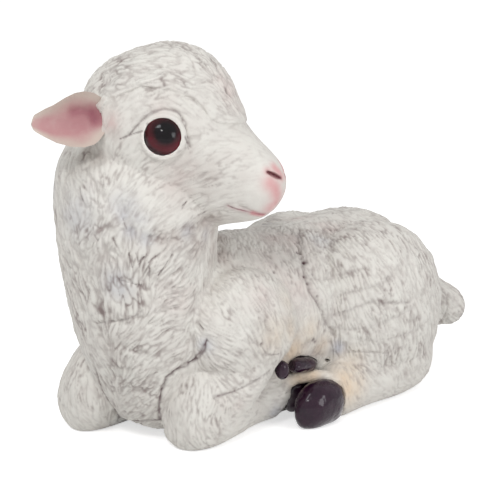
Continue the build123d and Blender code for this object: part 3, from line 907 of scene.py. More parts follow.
def eye_distance(points):
    """How far each point is from the middle of the nearer eye."""
    gaps = []
    for eye in ("eye_left_lens", "eye_right_lens"):
        low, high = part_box(eye)
        gaps.append(np.linalg.norm(points - (np.array(low) + np.array(high)) / 2, axis=1))
    return np.minimum(*gaps)


def eye_skin(eye_gap, lid, distances):
    """1 on the smooth skin near an eye and 0 beyond it. The two distances between which it eases change with
    the lid's share from those under the eye to those over it."""
    under, over = np.array(distances) * MM
    start, end = under[:, None] + lid * (over - under)[:, None]
    return 1 - smooth_step(start, end, eye_gap)


def ridge(noise):
    """Rounded ridges with sharp grooves where the noise crosses 0, about a middle height."""
    return np.minimum(np.abs(noise) / 0.9, 1) ** 0.8 - 0.6


def carve(points, quads, part, rays):
    """Carves the skin and returns its points and the masks of its paint. The seams between the castings are
    softened first. Then the tufts rise, with creases, pits and the mouth cut into them, and strands and locks
    are cut last."""
    values = carving()
    _, up, along = head_places(points)
    eye_gap = eye_distance(points)
    lid = smooth_step(-4 * MM, 4 * MM, up - 6.5 * MM)
    bare_nose = (part == HEAD) * smooth_step(NOSE_START, NOSE_END, along)
    bare = np.clip(eye_skin(eye_gap, lid, LID_BARE) + bare_nose, 0, 1)

    hold = np.maximum(eye_skin(eye_gap, lid, LID_HOLD), points[:, 2] < FLOOR_BAND)
    nostril, _ = rays.line(NOSTRIL)
    for chain in both_sides(nostril, HEAD):
        close, gap = near_line(points, chain, 6 * MM)
        raise_to(hold, close, 1 - smooth_step(2.5 * MM, 5 * MM, gap))
    points = relaxed(points, quads, values.blend_rounds, hold)
    points = relaxed(points, quads, 2, np.where(points[:, 2] < FLOOR_BAND, 1.0, 0.0))
    normals = point_normals(points, quads)
    for _ in range(3):
        normals = unit(neighbour_mean(normals, quads))

    flow, share = combed_flow(points, normals, rays)
    fine_depth, coarse_depth, lump_height, sway, wash_and_shade = (share @ np.array(list(COATS.values()))).T
    wander = cloud(points, *WANDER)
    groove, stain_and_shade = creases(points, wander, rays)
    pit = pits(points, wander, rays)
    crown = crown_share(points, part, rays)
    masks = skin_masks(points, rays)
    strokes = painted_strokes(points, rays)
    lip_dark = smooth_step(0.35, 0.85, strokes["mauve"])
    ground = smooth_step(0.5 * MM, 5 * MM, points[:, 2])
    carved = (1 - bare) * ground

    sweep = 0.8 * cloud(points, *SWAY_BROAD) + 0.6 * cloud(points, *SWAY_CLOSE)
    angle = np.radians(sway) * sweep
    lay = turned(flow, normals, angle)
    tuft = (lay, values.tuft_width, values.tuft_length, TUFT_SEED)
    lumps = tufts(points, *tuft)
    beyond_tip = tufts(points - TIP_LOOK * lay, *tuft) - lumps
    rise = carved * lump_height * MM * lumps
    rise += (part != HEAD) * ground * SWELL_HEIGHT * cloud(points, *SWELL)
    rise += values.crown_step * crown - groove * ground
    rise -= PIT_DEPTH * pit + LIP_DEPTH * lip_dark + NOSTRIL_DEPTH * strokes["crimson"]
    points = points + rise[:, None] * normals
    normals = point_normals(points, quads)

    fine = strands(points, lay, values.fine_width, values.fine_length, FINE_SEED)
    sideways = turned(flow, normals, 1.3 * angle)
    coarse = strands(points, sideways, values.coarse_width, values.coarse_length, COARSE_SEED)
    patch = 0.75 + 0.35 * cloud(points, *PATCH)
    cut = fine_depth * ridge(fine) + coarse_depth * ridge(coarse)
    points = points + (carved * patch * cut * MM)[:, None] * normals

    deep = cloud(points, *DEEP_CLOSE) * 0.6 + cloud(points, *DEEP_BROAD) * 0.5 + 0.2
    deep = smooth_step(0.05, 0.65, deep)
    fine_groove = 1 - smooth_step(0.05, 0.62, np.abs(fine))
    coarse_groove = (1 - smooth_step(0.0, 0.45, np.abs(coarse))) * np.minimum(coarse_depth / 0.6, 1)
    # Painted shade just under each tuft's tip
    under_tip = smooth_step(0.12, 0.45, beyond_tip) * lump_height
    lines = np.maximum(fine_groove * (0.34 + 0.50 * deep), coarse_groove * (0.40 + 0.6 * deep))
    lines = np.maximum(lines, under_tip * (0.35 + 0.5 * deep))
    lines = 0.4 * lines + 0.6 * neighbour_mean(lines, quads)
    # Wash in the grooves and under tuft tips: partly dark paint, partly painted shade
    masks["wash_and_shade"] = np.clip(wash_and_shade * lines * (1 - bare), 0, 1)
    # Near-black in creases and pits: partly a stain, partly painted shade
    masks["stain_and_shade"] = np.clip(np.maximum(stain_and_shade, 1.1 * pit), 0, 1)
    masks.update(strokes)
    return points, masks


def set_masks(mesh, masks):
    for name, values in masks.items():
        attribute = mesh.attributes.new(name, "FLOAT", "POINT")
        attribute.data.foreach_set("value", np.asarray(values, np.float32))


def capped_piece(name, points, quads, normals, masks, chosen, rays):
    """The chosen faces of the skin as a closed piece: each open rim turns in by a short way against the
    normals, and is then joined to one hub inside the castings. The piece keeps the whole skin's normals, so
    no seam shows."""
    faces = quads[chosen]
    used, local = np.unique(faces, return_inverse=True)
    local = local.reshape(-1, 4)
    starts, ends = local.ravel(), np.roll(local, -1, axis=1).ravel()
    key = starts.astype(np.int64) * len(used) + ends
    twin = ends.astype(np.int64) * len(used) + starts
    open_edge = ~np.isin(key, twin)
    rim_starts, rim_ends = starts[open_edge], ends[open_edge]
    chain = np.arange(len(used))
    while True:
        low = np.minimum(chain[rim_starts], chain[rim_ends])
        new = chain.copy()
        np.minimum.at(new, rim_starts, low)
        np.minimum.at(new, rim_ends, low)
        new = new[new]
        if (new == chain).all():
            break
        chain = new
    loops, owner = np.unique(chain[rim_starts], return_inverse=True)
    spots = points[used]
    rim = np.unique(rim_starts)
    sunk = spots[rim] - RIM_DEPTH * normals[used][rim]
    hubs = [
        rays.hub(sunk[np.searchsorted(rim, rim_starts[owner == loop])]) for loop in range(len(loops))
    ]
    corners = np.concatenate((spots, sunk, hubs)) if hubs else spots
    inner_starts = len(used) + np.searchsorted(rim, rim_starts)
    inner_ends = len(used) + np.searchsorted(rim, rim_ends)
    lips = np.stack((rim_ends, rim_starts, inner_starts, inner_ends), axis=1)
    caps = np.stack((inner_ends, inner_starts, len(used) + len(rim) + owner), axis=1)
    extra = len(corners) - len(used)
    loop_total = np.concatenate((np.full(len(local) + len(lips), 4), np.full(len(caps), 3)))
    loops_flat = np.concatenate((local.ravel(), lips.ravel(), caps.ravel()))
    mesh = bpy.data.meshes.new(name)
    mesh.vertices.add(len(corners))
    mesh.vertices.foreach_set("co", corners.astype(np.float32).ravel())
    mesh.loops.add(len(loops_flat))
    mesh.loops.foreach_set("vertex_index", loops_flat.astype(np.int32))
    mesh.polygons.add(len(loop_total))
    loop_start = np.cumsum(loop_total) - loop_total
    mesh.polygons.foreach_set("loop_start", loop_start.astype(np.int32))
    mesh.polygons.foreach_set("use_smooth", np.ones(len(loop_total), bool))
    mesh.update(calc_edges=True)
    mesh.validate()
    set_masks(mesh, {label: np.concatenate((mask[used], np.zeros(extra))) for label, mask in masks.items()})
    facing = np.concatenate((normals[used], np.tile((0.0, 0.0, 1.0), (extra, 1))))
    mesh.normals_split_custom_set_from_vertices(facing.tolist())
    piece = bpy.data.objects.new(name, mesh)
    bpy.context.scene.collection.objects.link(piece)
    return piece


def settle(piece, slot_name, *nodes):
    """Seats a piece on the lamb's one body and hides the nodes that it stands for; its slot name is not used.
    """
    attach(piece, "root")
    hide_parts(*nodes)


# Materials

def feed(tree, target, inputs):
    """Sets a node's inputs, given by label or number: a socket is linked to its input, and any other value is
    written into it."""
    for label, value in inputs.items():
        if isinstance(value, bpy.types.NodeSocket):
            tree.links.new(value, target.inputs[label])
        else:
            target.inputs[label].default_value = value


def node(tree, kind, place=(0, 0), inputs=None, **settings):
    made = tree.nodes.new(kind)
    made.location = place
    for key, value in settings.items():
        setattr(made, key, value)
    feed(tree, made, inputs or {})
    return made


def maths(tree, place, operation, *values, clamp=False):
    """The output of a math node on sockets or numbers."""
    inputs = dict(enumerate(values))
    return node(tree, "ShaderNodeMath", place, inputs, operation=operation, use_clamp=clamp).outputs[0]


def ranged(tree, place, value, old, new):
    """A value carried from its old range to a new one."""
    inputs = {"Value": value, "From Min": old[0], "From Max": old[1], "To Min": new[0], "To Max": new[1]}
    return node(tree, "ShaderNodeMapRange", place, inputs).outputs["Result"]


def colour(values):
    return (*values, 1.0)


def group_tree(name, inputs, outputs):
    tree = bpy.data.node_groups.new(name, "ShaderNodeTree")
    for label, kind, default in inputs:
        socket = tree.interface.new_socket(label, in_out="INPUT", socket_type=kind)
        socket.default_value = default
    for label, kind in outputs:
        tree.interface.new_socket(label, in_out="OUTPUT", socket_type=kind)
    given = node(tree, "NodeGroupInput", (-900, 0)).outputs
    return tree, given, node(tree, "NodeGroupOutput", (700, 0))


def tint_group():
    """Lays a paint over another where a mask says, broken up by a soft mottle so that its edge looks
    brushed."""
    tree, given, out = group_tree(
        "Brushed tint",
        (
            ("Under", "NodeSocketColor", (1, 1, 1, 1)),
            ("Paint", "NodeSocketColor", (0, 0, 0, 1)),
            ("Mask", "NodeSocketFloat", 0.0),
            ("Mottle", "NodeSocketFloat", 0.0),
            ("Break", "NodeSocketFloat", 0.4),
        ),
        (("Color", "NodeSocketColor"),),
    )
    ragged = maths(tree, (-600, 0), "MULTIPLY", given["Mottle"], given["Break"])
    lift = maths(tree, (-400, 0), "ADD", ragged, 1.0)
    strength = maths(tree, (-200, 0), "MULTIPLY", given["Mask"], lift, clamp=True)
    colours = {"Factor": strength, 6: given["Under"], 7: given["Paint"]}
    mix = node(tree, "ShaderNodeMix", (100, 0), colours, data_type="RGBA")
    feed(tree, out, {"Color": mix.outputs[2]})
    return tree


def mottle_group():
    """Cloudy noise on the object's own coordinates, from -1 to 1, and a finer one for bumps."""
    tree, given, out = group_tree(
        "Paint mottle",
        (("Scale", "NodeSocketFloat", 120.0), ("Grain", "NodeSocketFloat", 1400.0)),
        (("Mottle", "NodeSocketFloat"), ("Grain", "NodeSocketFloat")),
    )
    at = node(tree, "ShaderNodeTexCoord", (-900, -300)).outputs["Object"]
    broad = node(tree, "ShaderNodeTexNoise", (-600, 100), {
        "Vector": at, "Scale": given["Scale"], "Detail": 4.0, "Roughness": 0.6,
    })
    fine = node(tree, "ShaderNodeTexNoise", (-600, -200), {
        "Vector": at, "Scale": given["Grain"], "Detail": 2.0,
    })
    spread = ranged(tree, (-300, 100), broad.outputs["Fac"], (0.3, 0.7), (-1.0, 1.0))
    feed(tree, out, {"Mottle": spread, "Grain": fine.outputs["Fac"]})
    return tree


def shared_group(name, make):
    return bpy.data.node_groups.get(name) or make()


def mottled(tree, place, scales=None):
    """The outputs of the shared mottle."""
    group = shared_group("Paint mottle", mottle_group)
    return node(tree, "ShaderNodeGroup", place, scales, node_tree=group).outputs


def tinted(tree, place, inputs):
    """The colour of one paint brushed over another."""
    group = shared_group("Brushed tint", tint_group)
    return node(tree, "ShaderNodeGroup", place, inputs, node_tree=group).outputs["Color"]


def masked(tree, place, name):
    """The value of a mask that the mesh carries."""
    return node(tree, "ShaderNodeAttribute", place, attribute_name=name).outputs["Fac"]


def grained(tree, mottle, inputs):
    """The normal of the mottle's fine grain, as a bump."""
    bump = node(tree, "ShaderNodeBump", (-300, -400), {"Height": mottle["Grain"], **inputs})
    return bump.outputs["Normal"]


def new_material(name):
    material = bpy.data.materials.new(name)
    material.use_nodes = True
    tree = material.node_tree
    return material, tree, tree.nodes["Principled BSDF"]


def layered_paint(name, under, layers, roughness, grain_depth):
    """Paint on cast resin: a ground colour, then tints laid over it by masks, each brushed by one shared
    mottle. A layer without a mask lies thinly everywhere."""
    material, tree, surface = new_material(name)
    mottle = mottled(tree, (-1400, -200))
    last = colour(under)
    for place, (mask_name, tone, ragged) in enumerate(layers):
        mask = masked(tree, (-1300, 500 - 120 * place), mask_name) if mask_name else 0.35
        last = tinted(tree, (-1100 + 180 * place, 200), {
            "Under": last, "Paint": colour(tone), "Mask": mask, "Break": ragged, "Mottle": mottle["Mottle"],
        })
    around = (roughness - 0.08, roughness + 0.08)
    feed(tree, surface, {
        "Base Color": last,
        "Roughness": ranged(tree, (-300, -150), mottle["Mottle"], (-1.0, 1.0), around),
        "Normal": grained(tree, mottle, {"Strength": 0.5, "Distance": grain_depth}),
        "Specular IOR Level": 0.35,
    })
    return material


def fleece_material():
    tones = paint()
    layers = (
        (None, (0.66, 0.62, 0.58), 1.0),
        # Painted brown-grey shade
        ("brown_painted_shade", tones.brown_painted_shade, 0.5),
        # Painted cold grey shade
        ("grey_painted_shade", tones.grey_painted_shade, 0.5),
        ("peach", tones.peach, 0.35),
        ("rosy", (0.66, 0.48, 0.46), 0.6),
        ("pink", tones.rose, 0.15),
        ("mauve", (0.30, 0.13, 0.15), 0.25),
        # Wash: dark paint and painted shade in the grooves
        ("wash_and_shade", tones.wash_and_shade, 0.3),
        # Near-black in creases and pits: partly a stain, partly painted shade
        ("stain_and_shade", (0.10, 0.055, 0.06), 0.25),
        ("crimson", (0.10, 0.004, 0.016), 0.0),
    )
    return layered_paint("painted fleece", tones.cream, layers, 0.62, 0.12 * MM)


def hoof_material():
    """Dark enamel under a clear coat, faintly mottled, with pale overspray where the dust mask says."""
    material, tree, surface = new_material("hoof enamel")
    mottle = mottled(tree, (-900, 0), {"Scale": 260.0, "Grain": 700.0})
    enamel = tinted(tree, (-600, 100), {
        "Under": colour(paint().hoof), "Paint": (0.028, 0.008, 0.021, 1), "Mask": 0.5, "Break": 1.0,
        "Mottle": mottle["Mottle"],
    })
    dusted = tinted(tree, (-300, 200), {
        "Under": enamel, "Paint": (0.40, 0.36, 0.37, 1), "Mask": masked(tree, (-600, 400), "dust"),
        "Mottle": mottle["Mottle"],
    })
    feed(tree, surface, {
        "Base Color": dusted,
        "Roughness": ranged(tree, (-300, -150), mottle["Mottle"], (-1.0, 1.0), (0.16, 0.36)),
        "Normal": grained(tree, mottle, {"Strength": 0.6, "Distance": 0.15 * MM}),
        "Specular IOR Level": 0.05,
        "Coat Weight": 0.9,
        "Coat IOR": 1.35,
        "Coat Roughness": 0.10,
    })
    return material


def lens_material():
    """Clear glass whose front has a faintly hazed gloss. It lets the lamps through to the paint behind it."""
    material, tree, surface = new_material("eye glass")
    mottle = mottled(tree, (-900, 0), {"Scale": 90.0})
    haze = ranged(tree, (-600, 0), mottle["Mottle"], (-1.0, 1.0), (0.85, 1.0))
    sides = node(tree, "ShaderNodeNewGeometry", (-600, 300))
    front = maths(tree, (-400, 300), "SUBTRACT", 1.0, sides.outputs["Backfacing"])
    feed(tree, surface, {
        "Base Color": (1.0, 1.0, 1.0, 1),
        "Roughness": 0.0,
        "IOR": 1.01,
        "Transmission Weight": 1.0,
        "Coat Weight": maths(tree, (-200, 100), "MULTIPLY", haze, front),
        "Coat Roughness": 0.06,
        "Coat IOR": 1.31,
    })
    path = node(tree, "ShaderNodeLightPath", (100, 500))
    clear = node(tree, "ShaderNodeBsdfTransparent", (100, -300))
    mix = node(tree, "ShaderNodeMixShader", (350, 0), {
        "Fac": path.outputs["Is Shadow Ray"], 1: surface.outputs["BSDF"], 2: clear.outputs["BSDF"],
    })
    feed(tree, tree.nodes["Material Output"], {"Surface": mix.outputs["Shader"]})
    return material


def iris_material():
    """Rings of paint by the disc's own radius attribute: black pupil, maroon ring and dark rim. The rings'
    middle sits high, so the dark top is painted shade of the lid and the wider maroon below is painted light.
    """
    material, tree, surface = new_material("iris paint")
    mottle = mottled(tree, (-900, -250), {"Scale": 700.0})
    ring = masked(tree, (-900, 0), "radius")
    wander = maths(tree, (-700, 0), "MULTIPLY_ADD", mottle["Mottle"], 0.02, ring)
    ramp = node(tree, "ShaderNodeValToRGB", (-450, 0), {"Fac": wander})
    stops = (
        (0.0, (0.002, 0.001, 0.002)), (0.46, (0.003, 0.001, 0.003)), (0.62, (0.04, 0.003, 0.006)),
        (0.84, tuple(paint().iris)), (1.0, (0.02, 0.001, 0.004)),
    )
    while len(ramp.color_ramp.elements) < len(stops):
        ramp.color_ramp.elements.new(0.5)
    for element, (position, tone) in zip(ramp.color_ramp.elements, stops):
        element.position = position
        element.color = colour(tone)
    feed(tree, surface, {"Base Color": ramp.outputs["Color"], "Roughness": 0.6, "Specular IOR Level": 0.02})
    return material


def plain_material(name, tone, other, scale, roughness, bump_depth):
    """A matt finish mottled between two near tones."""
    material, tree, surface = new_material(name)
    mottle = mottled(tree, (-900, 0), {"Scale": scale})
    mixed = tinted(tree, (-600, 100), {
        "Under": colour(tone), "Paint": colour(other), "Mask": 0.5, "Break": 1.0, "Mottle": mottle["Mottle"],
    })
    normal = grained(tree, mottle, {"Distance": bump_depth})
    feed(tree, surface, {"Base Color": mixed, "Roughness": roughness, "Normal": normal})
    return material


def seen_directly(tree):
    """1 for rays from the camera, and for those that a glossy or clear surface sends on, or else 0."""
    path = node(tree, "ShaderNodeLightPath", (-900, 300)).outputs
    first = maths(tree, (-600, 300), "MAXIMUM", path["Is Camera Ray"], path["Is Glossy Ray"])
    return maths(tree, (-400, 300), "MAXIMUM", first, path["Is Transmission Ray"])


def backdrop_material():
    """Pale paper that takes the lamb's shadow. What looks at it directly sees it lifted to white."""
    material, tree, surface = new_material("paper")
    feed(tree, surface, {
        "Base Color": (0.85, 0.85, 0.85, 1),
        "Roughness": 0.9,
        "Specular IOR Level": 0.0,
        "Emission Color": (1, 1, 1, 1),
        "Emission Strength": maths(tree, (-200, 300), "MULTIPLY", seen_directly(tree), 0.60),
    })
    return material


# Pieces

def pasterns():
    """The pastern that lies over each hind hoof, which the castings leave to the skin: a tube whose middle
    follows places on the photograph, at depths drawn evenly from the cannon on its left to the haunch on its
    right."""
    ends = []
    for name, pixel in (("foreleg_left", PASTERN[0]), ("hind_leg_left", PASTERN[-1])):
        rays = rays_on(name)
        ends.append(rays.hit(*pixel)[0])
        rays.close()
    knots = np.array(PASTERN, float)
    last = len(knots) - 1
    run = np.linspace(0, last, PASTERN_RINGS)
    pixels = np.stack([np.interp(run, np.arange(len(knots)), knots[:, k]) for k in range(2)], axis=1)
    far = np.interp(run, (0, last), [np.linalg.norm(end - rays.eye) for end in ends]) + PASTERN_SINK
    path = rays.eye + far[:, None] * np.array([rays.way(*pixel) for pixel in pixels])
    radii = PASTERN_RADIUS * (1 - 0.25 * np.clip(np.linspace(-1, 1, len(path)), -0.4, 1) ** 2)
    left, triangles = tube(path, radii)
    return [(left, triangles, HIND_LEFT), (mirrored(left, BODY), triangles[:, ::-1], HIND_RIGHT)]


class LAMB_OT_skin(bpy.types.Operator):
    """Make the carved and painted skin over the castings"""

    bl_idname = "lamb.skin"
    bl_label = "Skin"

    def execute(self, context):
        grid = carving().grid * 1
        points, quads, part = wrapped(CASTINGS, grid, pasterns())
        rays = PhotoRays(points, quads, part)
        points, masks = carve(points, quads, part, rays)
        normals = point_normals(points, quads)
        material = fleece_material()
        middle = points[quads].mean(axis=1)
        owner = part[quads[:, 0]]
        owner[owner == PLUG] = BODY
        zones = [
            (CASTINGS[place].replace("_casting", ""), owner == place, CASTINGS[place])
            for place in range(HEAD, PLUG)
        ]
        low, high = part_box("body_casting")
        length, height = high.x - low.x, high.z - low.z
        upper = middle[:, 2] > low.z + 0.5 * height
        chest = (owner == BODY) & (middle[:, 0] < low.x + CHEST_SHARE * length)
        rump = (owner == BODY) & (middle[:, 0] > low.x + RUMP_SHARE * length)
        flank = (owner == BODY) & ~chest & ~rump
        left = middle[:, 1] < 0
        for name, chosen in (
            ("neck", chest & upper), ("chest", chest & ~upper), ("left_flank", flank & left),
            ("right_flank", flank & ~left), ("left_rump", rump & left), ("right_rump", rump & ~left),
        ):
            zones.append((name, chosen, "body_casting"))
        for name, chosen, cad_node in zones:
            piece = capped_piece(name + "_fleece", points, quads, normals, masks, chosen, rays)
            piece.data.materials.append(material)
            settle(piece, "painted_face" if name == "head" else "painted_wool", cad_node)
        rays.close()
        return {"FINISHED"}


def soft_copy(name, grid, rounds, wobble):
    """A node's solids on an even grid, rounded a little and made slightly uneven, as a hand-finished part
    is."""
    points, quads, _ = wrapped([name], grid)
    points = relaxed(points, quads, rounds, np.zeros(len(points)))
    uneven = 0.7 * cloud(points, *HOOF_BROAD) + 0.3 * cloud(points, *HOOF_CLOSE)
    return points + (uneven * wobble)[:, None] * point_normals(points, quads), quads


def ear_shell():
    """The right ear as a thin shell: its points, faces and, for each point, its share of the run from root to
    tip and of the half width, whether it is inside and how far it lies in the fold, and last the ear's aim.

    Rays through the photograph's two edges of the ear meet a plane through the solid ear, square to the way
    its cup faces. At each reach along the ear the section runs round from edge to edge and back: its place
    across is the edges' middle plus the cosine of the turn times their half gap, and its depth is the cup's
    depth times the sine squared, plus the wall's thickness times the sine on the outer side."""
    cup, aim = head_way(*EAR_CUP), head_way(*EAR_AIM)
    aim = unit(aim - (aim @ cup) * cup)
    across = np.cross(aim, cup)
    solid, _ = node_arrays("ear_right")
    middle = solid.mean(axis=0)
    rays = PhotoRays(solid, np.zeros((0, 4), int), None)
    rays.close()

    def on_plane(pixels):
        ways = np.array([rays.way(*pixel) for pixel in pixels])
        spots = rays.eye + ways * (((middle - rays.eye) @ cup) / (ways @ cup))[:, None] - middle
        return spots @ aim, spots @ across

    (top_reach, top), (bottom_reach, bottom) = on_plane(EAR_TOP), on_plane(EAR_BOTTOM)
    tip, root = top_reach.max(), top_reach.min()
    share = np.linspace(0, 1, EAR_ROWS) ** 0.6
    reach = root + (tip - root) * share
    upper = np.interp(reach, top_reach[::-1], top[::-1])
    lower = np.interp(reach, bottom_reach[::-1], bottom[::-1])
    for edge in (upper, lower):
        edge[1:-1] = 0.25 * edge[:-2] + 0.5 * edge[1:-1] + 0.25 * edge[2:]
    turn = np.linspace(0, 2 * math.pi, EAR_TURNS, endpoint=False)
    sine, cosine = np.sin(turn), np.cos(turn)
    side = np.sign(np.mean(upper - lower))
    half = np.maximum(0.5 * np.abs(upper - lower), EAR_TIP) * side
    along = share[:, None]
    opened = np.minimum(np.abs(half) / (EAR_WIDE / 2), 1)
    cup_depth = (EAR_DEPTH * np.sin(math.pi * share ** 0.8) ** 0.7 * opened)[:, None]
    wall = EAR_WALL * (1 - 0.55 * along)
    depth = -cup_depth * sine ** 2 + wall * np.minimum(sine, 0) + 0.25 * wall
    curl = EAR_CURL * np.sin(math.pi * (1 - along)) * (np.abs(cosine) ** 3)
    droop = EAR_DROOP * along ** 2
    place = (
        middle + reach[:, None, None] * aim
        + (0.5 * (upper + lower)[:, None] + half[:, None] * cosine)[..., None] * across
        + (depth + curl - droop + EAR_FORWARD)[..., None] * cup
    )
    points = np.concatenate((place.reshape(-1, 3), [place[0].mean(axis=0), place[-1].mean(axis=0)]))
    quads, fans = ring_faces(EAR_ROWS, EAR_TURNS)
    run = np.concatenate((np.repeat(share, EAR_TURNS), (0, 1)))
    width = np.concatenate((np.tile(np.abs(cosine), EAR_ROWS), (0, 0)))
    inner = np.concatenate((np.tile(smooth_step(-0.1, 0.15, sine), EAR_ROWS), (0, 0)))
    level = np.zeros(len(points))
    flat = np.stack(((points - middle) @ aim, (points - middle) @ across, level), axis=1)
    fold_reach, fold_across = on_plane(EAR_FOLD)
    chain = np.stack((fold_reach, fold_across, np.zeros(len(fold_reach))), axis=1)
    close, gap = near_line(flat, chain, 6 * MM)
    fold = np.zeros(len(points))
    fold[close] = bell(gap, 2.0 * MM)
    fold *= inner
    points = points - (FOLD_DEPTH * fold)[:, None] * cup
    return points, quads.tolist() + fans.tolist(), run, width, inner, fold, aim


class LAMB_OT_ears(bpy.types.Operator):
    """Make the two cupped ears, white outside and airbrushed pink inside"""

    bl_idname = "lamb.ears"
    bl_label = "Ears"

    def execute(self, context):
        tones = paint()
        layers = (
            (None, (0.66, 0.60, 0.55), 1.0),
            ("skin", tones.ear, 0.1),
            ("blush", (0.47, 0.25, 0.255), 0.2),
            ("deep_rose_and_shade", (0.30, 0.085, 0.12), 0.2),
            ("wash_and_shade", tones.wash_and_shade, 0.3),
        )
        material = layered_paint("painted ear", tones.cream, layers, 0.55, 0.08 * MM)
        points, faces, run, width, inner, fold, aim = ear_shell()
        hair = strands(points, np.tile(aim, (len(points), 1)), *EAR_HAIR, EAR_SEED)
        wobble = cloud(points, *EAR_EDGE)
        inside_edge = 1 - smooth_step(0.35, 0.95, width + 0.15 * wobble)
        near_root = 1 - smooth_step(0.25, 0.62, run + 0.1 * wobble)
        # Painted shade in the cup's hollow near the root
        painted_hollow_shade = inner * near_root * (1 - smooth_step(0.2, 0.8, width))
        masks = {
            "skin": np.maximum(inner, 0.5 * smooth_step(0.9, 1, width)),
            "blush": inner * inside_edge * (1 - 0.3 * smooth_step(0.8, 1.0, run)),
            # Deep rose paint with painted shade in the fold and in the hollow by the root
            "deep_rose_and_shade": 0.42 * fold + 0.35 * painted_hollow_shade,
            # Dark hair lines painted on the back of the ear, in the wash's colour
            "wash_and_shade": 0.45 * (1 - smooth_step(0, 0.4, np.abs(hair))) * (1 - inner),
        }
        turned_faces = [face[::-1] for face in faces]
        for hand, spots, sides in (
            ("right", points, turned_faces), ("left", mirrored(points, HEAD), faces),
        ):
            piece = new_piece("ear_" + hand + "_painted", spots, sides)
            set_masks(piece.data, masks)
            piece.data.materials.append(material)
            settle(piece, "painted_ear", "ear_" + hand)
        return {"FINISHED"}


def spun(profile, turns, origin, axis):
    """A profile of (radius, height) places carried round an axis: the point at turn a is the origin plus the
    height along the axis and the radius times the cosine and sine of a along two ways square to it. Ends on
    the axis close it to a point."""
    axis = unit(np.asarray(axis, float))
    side = unit(np.cross(axis, (0.3, 0.9, 0.1)))
    other = np.cross(axis, side)
    radius, height = np.asarray(profile, float)[1:-1].T
    angle = np.linspace(0, 2 * math.pi, turns, endpoint=False)
    round_way = np.cos(angle)[:, None] * side + np.sin(angle)[:, None] * other
    grid = origin + height[:, None, None] * axis + radius[:, None, None] * round_way
    ends = [origin + profile[end][1] * axis for end in (0, -1)]
    quads, fans = ring_faces(len(radius), turns)
    return np.concatenate((grid.reshape(-1, 3), ends)), quads.tolist() + fans.tolist()


class LAMB_OT_eyes(bpy.types.Operator):
    """Make the glass domes and the painted discs behind them"""

    bl_idname = "lamb.eyes"
    bl_label = "Eyes"

    def execute(self, context):
        glass, disc_paint = lens_material(), iris_material()
        radius, back, thickness = 9 * MM, 2.6 * MM, 0.8 * MM
        flat = math.sqrt(radius ** 2 - back ** 2)
        for hand, sign in (("left", 1), ("right", -1)):
            look = head_way(0.17, sign * 0.96, 0.22)
            disc_points, _ = node_arrays("eye_" + hand + "_iris")
            centre = disc_points.mean(axis=0)
            ball = centre + look * (thickness / 2 + back)
            start = math.asin(-back / radius)
            turns = np.linspace(start, math.pi / 2, 40)
            arc = [(radius * math.cos(t), radius * math.sin(t)) for t in turns]
            dome = [(0, -back), (flat * 0.98, -back)] + arc[:-1] + [(0, radius)]
            lens = new_piece("eye_" + hand + "_dome", *spun(dome, 96, ball, look))
            lens.data.materials.append(glass)
            settle(lens, "eye_glass", "eye_" + hand + "_lens")
            steps = np.linspace(0, flat * 0.995, 24)
            dish = [(0, -thickness / 2), (flat * 0.97, -thickness / 2), (flat * 0.995, 0)]
            dish += [(r, thickness / 2) for r in steps[:0:-1]] + [(0, thickness / 2)]
            points, faces = spun(dish, 72, centre - look * 0.02 * MM, look)
            disc = new_piece("eye_" + hand + "_disc", points, faces)
            # The rings' middle is raised towards the crown: the pupil sits high as painted shade of the upper
            # lid, and the wider maroon below is painted light
            local = points - centre - 0.14 * flat * CROWN_WAY
            painted_light_ring_gap = np.linalg.norm(local - (local @ look)[:, None] * look, axis=1) / flat
            set_masks(disc.data, {"radius": painted_light_ring_gap})
            disc.data.materials.append(disc_paint)
            settle(disc, "iris_paint", "eye_" + hand + "_iris")
        return {"FINISHED"}


def fore_form(points):
    """A left fore hoof brought to the photo's form. The main claw is thinned down from its top, dropped and
    drawn in towards its left end on the picture, and the dewclaw before it is swelled and moved out of the
    wool."""
    _, right, _ = camera_ways()
    back = np.array((right[1], -right[0], 0.0))
    dew = points[:, 0] < points[:, 0].min() + 8.3 * MM
    formed = points.copy()
    main = points[~dew]
    top = main[:, 2].max()
    main[:, 2] = top - carving().fore_thinning * (top - main[:, 2]) - 1.5 * MM
    run = main @ right
    main -= (0.26 * np.maximum(run - run.min() - 2.7 * MM, 0))[:, None] * right
    formed[~dew] = main
    small = points[dew]
    middle = small.mean(axis=0)
    formed[dew] = middle + 1.1 * (small - middle) + 1.5 * MM * right + 1.2 * MM * back
    return formed


def hind_form(points):
    """A left hind hoof brought to the photo's form: the whole is lowered a little, and the inner claw is
    drawn up to a place under the pastern by a scale of 0.76."""
    lowered = points * (1, 1, carving().hind_thinning)
    anchor = np.array((-2, -34, 16)) * MM
    inner = smooth_step(-37.2 * MM, -35.6 * MM, points[:, 1])[:, None]
    return lowered + inner * 0.24 * (anchor - lowered)


